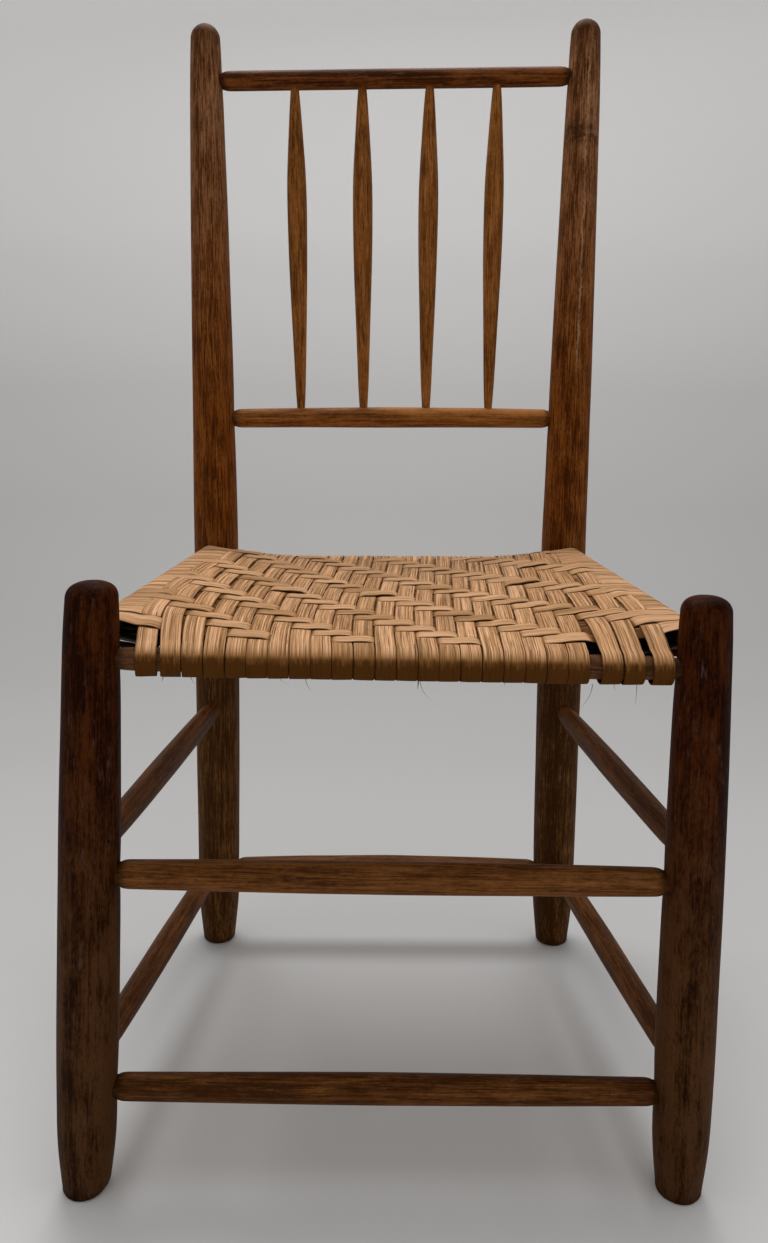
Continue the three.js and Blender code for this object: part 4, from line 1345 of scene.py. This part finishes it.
def splint(name, tan, warm, lined):
    """Splint of one tan with warmer patches; lined says how strong its lines and cracks are."""
    material, shade = new_material(name)
    grain, tint, soil = piece_attributes(shade)
    broad = grain.times(0.12, 0.1, 0.006).noise(3, 0.6, 0.3)
    lines = grain.times(0.8, 0.3, 0.006).noise(3, 0.65)
    fibres = grain.times(2.8, 0.5, 0.025).noise(2, 0.65)
    patches = grain.times(0.1, 0.1, 0.03).noise(4, 0.65)
    cracks = grain.moved(40, 9, 0).times(1.4, 0.3, 0.016).noise(2, 0.6)
    tone = broad.swing(0.45) + lines.swing(lined) + fibres.swing(0.7 * lined)
    tone = tone + patches.swing(0.4) + tint + NOISE_MIDDLE
    colour = tone.colours(shades_of(tan))
    colour = (patches.step(*WARM_EDGES) * WARM_COVER).between(colour, opaque(warm))
    crack = 1 - cracks.step(*CRACK_EDGES)
    colour = (crack * (0.7 * lined)).between(colour, opaque(SPLINT_DARK))
    # Edges painted darker, as painted shade in the seams between strips
    rim = grain.part(X).size().step(*RIM_EDGES)
    colour = (rim * RIM_COVER).between(colour, opaque(SPLINT_DARK))
    # Olive, then dark brown: painted shade between crossings, and dirt with painted shade on the front
    # roll and below
    blotches = grain.times(0.3, 0.3, 0.1).noise(3, 0.7).step(*BLOTCH_EDGES)
    darkened = soil * (blotches * 0.3 + lines * 0.9 + 0.4)
    colour = (darkened * OLIVE_GAIN).least(OLIVE_COVER).between(colour, opaque(SPLINT_OLIVE))
    colour = darkened.step(*DARKEST_EDGES).between(colour, opaque(SPLINT_DARKEST))
    roughness = fibres.swing(0.25) + soil * 0.15 + 0.6
    height = lines * 0.8 + fibres * 0.5 - crack * 1.2
    finish_material(shade, colour, roughness, height, SPLINT_RELIEF, SPLINT_GLOSS)
    return material


WARP_TAN = (0.475, 0.250, 0.110)
WARP_WARM = (0.46, 0.21, 0.07)
WEFT_TAN = (0.53, 0.292, 0.137)
WEFT_WARM = (0.54, 0.26, 0.11)
# Near-black, for the strips inside the seat that stand for its shade
SHADE_BLACK = (0.010, 0.007, 0.005)
warp_splint = splint("warp splint", WARP_TAN, WARP_WARM, 2.2)
weft_splint = splint("weft splint", WEFT_TAN, WEFT_WARM, 1.4)
shade_splint = splint("shade splint", SHADE_BLACK, SHADE_BLACK, 0.6)
print("splints:", [material.name for material in (warp_splint, weft_splint, shade_splint)])

# %% [markdown]
# Warps go first. Each length makes two turns: up round the front rail, over the seat, down
# round the back rail and forward again below, slanting to the next strip's place. Here are
# its runs over and under the seat, which follow the twill on both faces.

# %% Runs of the warps
SLOPE_REACH = 5
WARP_SEED = 100
WARP_BELOW_SEED = 200


def slope_across(x, y, face):
    rise = seat_height(x + SLOPE_REACH, y, face) - seat_height(x - SLOPE_REACH, y, face)
    return rise / (2 * SLOPE_REACH)


def slope_along(x, y, face):
    rise = seat_height(x, y + SLOPE_REACH, face) - seat_height(x, y - SLOPE_REACH, face)
    return rise / (2 * SLOPE_REACH)


def warp_run(x, y, face, level):
    """A run at levels of the weave on one face, and the direction of its width."""
    z = seat_height(x, y, face) + face * SWING * level
    slope = slope_across(x, np.clip(y, FRONT + SLOPE_REACH, BACK - SLOPE_REACH), face)
    return np.stack([x, y, z], 1), np.stack([np.ones_like(x), 0 * x, slope], 1)


def warp_over(strip, end):
    """The run over the top of the seat, from the front rail to a y."""
    column = strips.index(strip)
    y = steps_between(FRONT, end, STRIP_STEP)
    x = strip.x(y)
    overs = np.array([not weft_over(column + 1, row) for row in range(row_count)])
    level = eased(levels_of(overs, WARP_SEED + column), row_number(x, y))
    return warp_run(x, y, 1, level)


def warp_below(back_x, front_x, start, end, column):
    """A run below the seat between two y, on the line from a back x to a front x."""
    y = steps_between(start, end, LOWER_STEP)
    x = slanted(front_x, back_x, y)
    overs = np.array([not weft_over(column, row) for row in range(row_count)])
    level = eased(levels_of(overs, WARP_BELOW_SEED + column), lower_row_number(x, y))
    return warp_run(x, y, -1, level)


tallest = max(point[Z] for point in warp_over(strips[len(strips) // 2], BACK)[0])
print("highest point of a middle warp in mm:", round(float(tallest), 1))

# %% [markdown]
# Between its runs a strip lies tight round a rail. It comes in with the sideways slope of one
# run and leaves with that of the other, so it swings on the roll instead of breaking there.
# The loose ends of a length are pressed in a little, under the end that they meet.

# %% Rolls and ends of the warps
TUCK = 1.0
TUCK_POINTS = 8


def swung(leg, first_slope, last_slope):
    """A leg round a roll that comes in with one sideways slope and leaves with another."""
    points, across = leg
    turn = np.linspace(-1, 1, len(points) + 2)[1:-1]
    slope = np.where(turn < 0, -first_slope, last_slope)
    points[:, X] += slope * turn ** 2 * ROLL_ARC / 2
    return points, across


def front_roll(x, below, above):
    """Round the front rail from below; the slopes are those of the runs behind it."""
    leg = half_circle(front_rail.at(x), SIDEWAYS, (0, 1, 0), -QUARTER, -3 * QUARTER)
    return swung(leg, -below, above)


def back_roll(x, above, below):
    leg = half_circle(back_rail.at(x), SIDEWAYS, (0, 1, 0), QUARTER, -QUARTER)
    return swung(leg, above, -below)


def tucked(leg):
    """The same leg with its first stretch pressed in, under the end it meets."""
    points, across = leg
    inwards = smooth_step(1 - np.arange(len(points)) / TUCK_POINTS)
    return points + np.array((0, 0, TUCK)) * inwards[:, None], across


print("lowest point of the front roll in mm:", round(float(front_roll(0, 0, 0)[0][:, Z].min()), 1))

# %% [markdown]
# A strip is marked darker where it has dipped between its neighbours, which is painted shade,
# less so towards the back of the seat. It is also darker down the front roll, in two coats, and
# below, which is dirt with painted shade. Each coat has a height above the rail's middle where
# it starts, a distance over which it sets in, and a strength.

# %% Painted shade, dirt and width of the warps
DIP_FROM = 1.3
DIP_EASE = 1.1
FAINTER_BEHIND = 0.45
WARP_WIDTH = 14.1
WARP_BASE_SOIL = 0.03
WARP_DIP = 0.95
DIP_ROLL_GAP = 1
DIP_ROLL_EASE = 5
# Darkening down the front roll and below the rails, which is dirt with painted shade
ROLL_DARKENING_REACH = 6
ROLL_DARKENING_EASE = 10
ROLL_COATS = ((10.5, 8, 0.8), (3, 6, 0.3))
LOWER_DARKENING = 0.3
LOWER_DARKENING_EASE = 6


# A dip is painted shade: a strip is darker where it goes down under its neighbours
def dips(points, inside):
    """1 where a strip has gone down between its neighbours, 0 where it lies on top."""
    x, y, z = points[:, X], np.clip(points[:, Y], FRONT, BACK), points[:, Z]
    top, low = seat_height(x, y, 1), seat_height(x, y, -1)
    level = np.where(z > (top + low) / 2, z - top, low - z) / SWING
    return smooth_step((DIP_FROM - level) / DIP_EASE) * inside


def fainter_behind(points):
    """Less painted shade between the crossings towards the back of the seat."""
    return 1 - FAINTER_BEHIND * np.clip(share_back(points[:, Y]), 0, 1)


def warp_width(points):
    return np.full(len(points), WARP_WIDTH)


def warp_darkening(points):
    """Darker down the front roll, as dirt with painted shade, painted shade between crossings, and an
    even share of dirt with painted shade below.
    """
    down = front_rail.at(points[:, X])[:, Z] - points[:, Z]
    at_roll = smooth_step((FRONT + ROLL_DARKENING_REACH - points[:, Y]) / ROLL_DARKENING_EASE)
    lower = LOWER_DARKENING * smooth_step(down / LOWER_DARKENING_EASE)
    front = sum(share * smooth_step((down + start) / ease) for start, ease, share in ROLL_COATS)
    from_end = np.minimum(points[:, Y] - FRONT, BACK - points[:, Y])
    inside = smooth_step((from_end - DIP_ROLL_GAP) / DIP_ROLL_EASE)
    dip = WARP_DIP * dips(points, inside) * fainter_behind(points)
    return WARP_BASE_SOIL + np.maximum(lower + at_roll * front, dip)


# The share printed holds dirt and painted shade together
roll_face = front_rail.at(0) - np.array((0, ROLL_RADIUS, 0))
print("dirt on the face of the front roll:", round(float(warp_darkening(roll_face[None, :])[0]), 2))

# %% [markdown]
# Now the lengths are laid one after another, two strips from each. Their ends lap over their
# neighbours' ends in the middle of the underside. The short corner strips are hooked over the
# front rail: one end is tucked under a weft on top, the other lies below.

# %% Laying the warps
TRAIL = 20
CORNER_TAIL = 60
CORNER_SEED = 60
WARP_TINTS = (0.02, -0.05, 0.04, 0.0, -0.08, 0.05, -0.03, 0.03, 0.07, -0.02)
full_strips = [strip for strip in strips if strip.full]
back_step = (full_strips[-1].back - full_strips[0].back) / (len(full_strips) - 1)
front_step = (full_strips[-1].front - full_strips[0].front) / (len(full_strips) - 1)


def add_warps():
    for number in range(0, len(full_strips), 2):
        first, second = full_strips[number:number + 2]
        before = first.back - back_step
        after = second.front + front_step
        legs = [
            tucked(warp_below(before, first.front, MIDDLE + TRAIL, FRONT, number)),
            front_roll(first.front, lean_between(first.front, before), first.lean),
            warp_over(first, BACK),
            back_roll(first.back, first.slope, slope_between(second.front, first.back)),
            warp_below(first.back, second.front, BACK, FRONT, number + 1),
            front_roll(second.front, lean_between(second.front, first.back), second.lean),
            warp_over(second, BACK),
            back_roll(second.back, second.slope, slope_between(after, second.back)),
            warp_below(second.back, after, BACK, MIDDLE - TRAIL, number + 2),
        ]
        tint = WARP_TINTS[number // 2 % len(WARP_TINTS)]
        add_strip(first.node, legs, warp_width, warp_splint, number + 1, tint,
                  warp_darkening)


def add_corner_strips():
    for number, strip in enumerate(strips):
        if strip.full:
            continue
        legs = [
            warp_below(strip.front, strip.front, FRONT + CORNER_TAIL, FRONT, number),
            front_roll(strip.front, lean_between(strip.front, strip.front), strip.lean),
            warp_over(strip, strip.end),
        ]
        add_strip(strip.node, legs, warp_width, warp_splint, CORNER_SEED + number,
                  0.0, warp_darkening)


add_warps()
add_corner_strips()
print("lengths of splint laid:", pieces_called("_splint"))

# %% [markdown]
# Wefts are woven through them from side to side, over the top on the twill and back below
# it. The crossings are numbered along each run, so that one list of levels serves a run of
# any length. A corner strip counts as crossed up to just past its tip.

# %% Runs of the wefts
WEFT_SEED = 300
WEFT_BELOW_SEED = 400
WEFT_CLIMB = 0.45
CROSSING_MARGIN = 9
TIP_MARGIN = 3
WEFT_END_GAP = 8
SEAT_SPAN = 400
LOOSE_LIFT = 1.2
# Rows with loose floats, and the numbers of the strips that they pass over
LOOSE_FLOATS = {9: (6, 7, 11, 12), 11: (19, 20), 15: (20, 21)}


def row_ends(row):
    """Where a row lies on the left and on the right side rail, along y."""
    return left_first + row * left_step, right_first + row * right_step


def crossing_number(x, places):
    """Number of the crossing at each x, with one step more beyond either end."""
    outer = [places[0] - CROSSING_MARGIN, *places, places[-1] + CROSSING_MARGIN]
    return np.interp(x, outer, np.arange(len(outer)) - 1.0)


def weft_levels(columns, row, seed, loose=(), climb=0.0):
    """Levels over and under these columns, ending level at the side rails."""
    overs = np.array([weft_over(column, row) for column in columns])
    levels = levels_of(overs, seed + row, loose, climb)
    levels[0] = levels[-1] = 0
    return levels


def rail_lean(rail):
    gone = rail.end - rail.start
    return gone[X] / gone[Y]


def weft_over_top(row):
    """The run over the top, from the left rail to the right rail."""
    left_y, right_y = row_ends(row)
    middle_y = middle_first + row * middle_step
    x = steps_between(float(left_rail.at(left_y)[X]), float(right_rail.at(right_y)[X]), STRIP_STEP)
    pull = side_pull(x, np.full_like(x, middle_y))
    y = middle_y + pull * (np.where(x < 0, left_y, right_y) - middle_y)
    crossed = [k for k, strip in enumerate(strips) if strip.end > middle_y - TIP_MARGIN]
    loose = [(crossed.index(k - 1), LOOSE_LIFT) for k in LOOSE_FLOATS.get(row, ())]
    levels = weft_levels([k + 1 for k in crossed], row, WEFT_SEED, loose, WEFT_CLIMB)
    number = crossing_number(x, [strips[k].x(middle_y) for k in crossed])
    z = seat_height(x, y, 1) + SWING * eased(levels, number)
    slope = slope_along(x, np.clip(y, FRONT + WEFT_END_GAP, BACK - WEFT_END_GAP), 1)
    lean = pull * np.where(x < 0, rail_lean(left_rail), rail_lean(right_rail))
    return np.stack([x, y, z], 1), np.stack([-lean, -np.ones_like(x), -slope], 1)


def weft_below(right_y, left_y, start, end, row):
    """A run below between two shares of the way, from a right y to a left y."""
    right = right_rail.at(right_y)
    left = left_rail.at(left_y)
    x = right[X] + (left[X] - right[X]) * steps_between(start, end, LOWER_STEP / SEAT_SPAN)
    share = (right[X] - x) / (right[X] - left[X])
    y = right_y + (left_y - right_y) * share
    places = [(strip.back + following.front) / 2
              for strip, following in zip(full_strips, full_strips[1:])]
    levels = weft_levels(range(1, len(places) + 1), row, WEFT_BELOW_SEED)
    z = seat_height(x, y, -1) - SWING * eased(levels, crossing_number(x, places))
    return np.stack([x, y, z], 1), repeated(TO_FRONT, len(x))


print("points in a run over the top:", len(weft_over_top(0)[0]))

# %% [markdown]
# On the side rails there is less room than a strip is wide, so each weft is drawn as wide as
# the rows leave room for. It is also tilted a little, like a shingle, so that one edge stands
# above the other at each seam. As with the warps, each length makes two turns and its ends
# lap in the middle of the underside.

# %% Laying the wefts
WEFT_SEAM = 0.35
WEFT_BASE_SOIL = 0.04
# Strength of the painted shade where a weft dips under a warp
WEFT_DIP = 0.8
FIRST_CROSSING = 27
FIRST_CROSSING_EASE = 8
SHINGLE = 0.012
WEFT_LENGTH_SEED = 80
WEFT_TINTS = (0.05, 0.0, -0.12, 0.03, 0.06, -0.04, 0.05, -0.02, 0.06, -0.05)


def side_roll(rail, y, from_turn, to_turn):
    gone = rail.end - rail.start
    across = -gone / np.linalg.norm(gone)
    return half_circle(rail.at(y), across, (1, 0, 0), from_turn, to_turn, SIDE_RADIUS)


def weft_width(points):
    """As wide as the rows leave room for, so that neighbours lie flush."""
    pull = side_pull(points[:, X], points[:, Y])
    side_step = np.where(points[:, X] < 0, left_step, right_step)
    return middle_step + pull * (side_step - middle_step) - WEFT_SEAM


def weft_darkening(points):
    """An even base of dirt, and painted shade between the crossings, but none of that shade from the
    side rails to the first crossing.
    """
    inwards = side_distance(points[:, X], points[:, Y]) - FIRST_CROSSING
    inside = smooth_step(inwards / FIRST_CROSSING_EASE)
    return WEFT_BASE_SOIL + WEFT_DIP * dips(points, inside) * fainter_behind(points)


def add_wefts():
    trail = TRAIL / SEAT_SPAN
    for number, node in enumerate(nodes_called("weft_length_")):
        first, second = 2 * number, 2 * number + 1
        first_left, first_right = row_ends(first)
        second_left, second_right = row_ends(second)
        legs = [
            tucked(weft_below(first_right - right_step, first_left, 0.5 - trail, 1.0, first)),
            side_roll(left_rail, first_left, -QUARTER, -3 * QUARTER),
            weft_over_top(first),
            side_roll(right_rail, first_right, QUARTER, -QUARTER),
            weft_below(second_right - right_step, second_left, 0.0, 1.0, second),
            side_roll(left_rail, second_left, -QUARTER, -3 * QUARTER),
            weft_over_top(second),
            side_roll(right_rail, second_right, QUARTER, -QUARTER),
            weft_below(second_right, second_left + left_step, 0.0, 0.5 + trail, second + 1),
        ]
        tint = WEFT_TINTS[number % len(WEFT_TINTS)]
        add_strip(node, legs, weft_width, weft_splint, WEFT_LENGTH_SEED + number,
                  tint, weft_darkening, SHINGLE)


add_wefts()
print("lengths of splint laid:", pieces_called("_splint"))

# %% [markdown]
# Between the two faces, just behind the front rail, lie a few near-black strips of splint,
# drawn as offcuts. They are a dark sheet that stands for the shade inside the seat, and they
# are why the holes at the front corners look black. Below the front roll a few fibres have
# come loose from the edges of the strips and hang down like hairs, each a thin tube that
# tapers and bends aside.

# %% Dark strips inside as painted shade, and loose fibres
OFFCUT_PLACES = (20, 37, 54)
OFFCUT_WIDTH = 18
OFFCUT_INSET = 9
OFFCUT_SEED = 120
FIBRE_SIDES = 5
FIBRE_STEPS = 10
FIBRE_BEHIND = 3.0
FIBRE_SUNK = 0.3
FIBRE_FORWARD = 2.0
FIBRE_TAPER = 0.8
FIBRE_TINT = -0.1
FIBRE_DARKENING = 1.0
# Place along the front roll, reach to the side, drop and radius at the root
FIBRES = (
    (-152.6, -1.0, 3.0, 0.34), (-133.8, 3.5, 4.5, 0.20), (-74.0, 6.5, 3.5, 0.15),
    (-56.8, 4.0, 7.5, 0.23), (18.9, -0.5, 5.0, 0.50), (20.3, 7.0, 12.5, 0.21),
    (77.0, 0.8, 2.5, 0.17), (136.4, -8.0, 16.0, 0.23), (151.0, 0.5, 4.0, 0.17),
    (166.4, -1.2, 13.5, 0.22),
)


def offcut_width(points):
    return np.full(len(points), OFFCUT_WIDTH)


def offcut_soil(points):
    return np.zeros(len(points))


def add_offcuts():
    for number, place in enumerate(OFFCUT_PLACES):
        y = FRONT + place
        left, right = float(left_rail.at(y)[X]), float(right_rail.at(y)[X])
        x = steps_between(left + OFFCUT_INSET, right - OFFCUT_INSET, LOWER_STEP)
        y = np.full_like(x, y)
        z = (seat_height(x, y, 1) + seat_height(x, y, -1)) / 2
        leg = (np.stack([x, y, z], 1), repeated(TO_FRONT, len(x)))
        splint_piece(f"offcut_{number + 1}", [leg], offcut_width, shade_splint,
                     OFFCUT_SEED + number, 0.0, offcut_soil)


def add_fibres():
    share = np.linspace(0, 1, FIBRE_STEPS)
    for number, (x, reach, drop, thick) in enumerate(FIBRES):
        root = front_rail.at(x) - np.array((0, FIBRE_BEHIND, ROLL_RADIUS - FIBRE_SUNK))
        gone = [reach * share ** 2, -FIBRE_FORWARD * share, -drop * share]
        path = root + np.stack(gone, axis=1)
        radius = np.repeat((thick * (1 - FIBRE_TAPER * share))[:, None], FIBRE_SIDES, axis=1)
        points, flat = ring_points(path, Z, radius, angles_round(FIBRE_SIDES))
        piece = make_piece(f"fibre_{number + 1}", points.reshape(-1, 3),
                           tube_faces(FIBRE_STEPS, FIBRE_SIDES), warp_splint,
                           ring_grain(flat, path[:, Z]), FIBRE_TINT, FIBRE_DARKENING)


add_offcuts()
add_fibres()

# %% [markdown]
# The chair stands on a pale grey sweep: a floor that curves up into a wall, in one sheet. Its
# paper is paler in front and higher up, so that it looks as evenly lit as the photograph's.
# That is done with a ramp of colour along the sheet, and not with more light on the chair.

# %% Floor and backdrop
SWEEP_FRONT = -4.0
SWEEP_BACK = 1.5
SWEEP_RADIUS = 1.0
SWEEP_TOP = 4.0
SWEEP_HALF = 6.0
SWEEP_STEPS = 24
SWEEP_WARMTH = (1.0, 0.99, 0.98)
# Y plus Z of a place on the sheet in metres, and how pale the paper is there
SWEEP_TONES = ((-0.5, 0.95), (-0.2, 0.68), (0.1, 0.50), (0.7, 0.415), (1.1, 0.40), (2.4, 0.48),
               (3.0, 0.58), (3.6, 0.84), (4.2, 0.98))


def add_sweep():
    turns = np.linspace(0, np.pi / 2, SWEEP_STEPS)
    arc_y = SWEEP_BACK + SWEEP_RADIUS * np.sin(turns)
    arc_z = SWEEP_RADIUS * (1 - np.cos(turns))
    outline = [(SWEEP_FRONT, 0)] + list(zip(arc_y, arc_z)) + [(arc_y[-1], SWEEP_TOP)]
    points = [(x, float(y), float(z)) for y, z in outline for x in (-SWEEP_HALF, SWEEP_HALF)]
    faces = [(2 * i, 2 * i + 1, 2 * i + 3, 2 * i + 2) for i in range(len(outline) - 1)]
    mesh = bpy.data.meshes.new("sweep")
    mesh.from_pydata(points, [], faces)
    mesh.shade_smooth()
    sweep = bpy.data.objects.new("sweep", mesh)
    bpy.context.scene.collection.objects.link(sweep)
    material, shade = new_material("pale paper")
    place = shade.node("ShaderNodeNewGeometry")
    reach = place.part(Y) + place.part(Z)
    first, last = SWEEP_TONES[0][0], SWEEP_TONES[-1][0]
    stops = [
        ((at - first) / (last - first), tuple(tone * part for part in SWEEP_WARMTH))
        for at, tone in SWEEP_TONES
    ]
    colour = ((reach - first) / (last - first)).colours(stops)
    shader = shade.node("ShaderNodeBsdfDiffuse", None, {"Color": colour})
    shade.node("ShaderNodeOutputMaterial", None, {0: shader})
    mesh.materials.append(material)
    return sweep


print("paper tones are set at y + z in metres:", [stop[0] for stop in SWEEP_TONES])

# %% [markdown]
# The light comes from a large soft lamp above and behind the chair, as in the photograph,
# where the shadows of the back legs fall towards the viewer. The rest is a grey sky, a little
# brighter above and behind.

# %% Lamp and sky
LAMP_PLACE = Vector((-0.1, 0.85, 2.4))
LAMP_TARGET = Vector((0, -0.05, 0.2))
LAMP_SIZE = (1.5, 0.9)
LAMP_POWER = 32
SKY_LEVEL = 0.54
SKY_MORE_BEHIND = 0.12
SKY_MORE_ABOVE = 0.2


def add_lamp():
    data = bpy.data.lights.new("lamp", "AREA")
    data.shape = "RECTANGLE"
    data.size, data.size_y = LAMP_SIZE
    data.energy = LAMP_POWER
    lamp = bpy.data.objects.new("lamp", data)
    bpy.context.scene.collection.objects.link(lamp)
    lamp.location = LAMP_PLACE
    lamp.rotation_euler = (LAMP_TARGET - LAMP_PLACE).to_track_quat("-Z", "Y").to_euler()
    lamp.visible_camera = False
    return lamp


def add_sky():
    world = bpy.data.worlds.new("grey sky")
    bpy.context.scene.world = world
    world.use_nodes = True
    world.node_tree.nodes.clear()
    shade = Shade(world.node_tree)
    direction = shade.node("ShaderNodeTexCoord")
    level = direction.part(Y) * SKY_MORE_BEHIND + direction.part(Z) * SKY_MORE_ABOVE + SKY_LEVEL
    shader = shade.node("ShaderNodeBackground", None, {"Color": (1, 1, 1, 1), "Strength": level})
    shade.node("ShaderNodeOutputWorld", None, {0: shader})


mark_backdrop(add_sweep(), add_lamp())
add_sky()
bpy.context.scene.view_settings.view_transform = "Standard"
print("lamp in watts:", LAMP_POWER, "sky at the horizon:", SKY_LEVEL)

# %% Comparing the boxes and finishing
visual_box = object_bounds()
for side, cad, seen in zip(("low", "high"), cad_box, visual_box):
    print(side, "CAD", [round(v, 4) for v in cad], "visual", [round(v, 4) for v in seen])
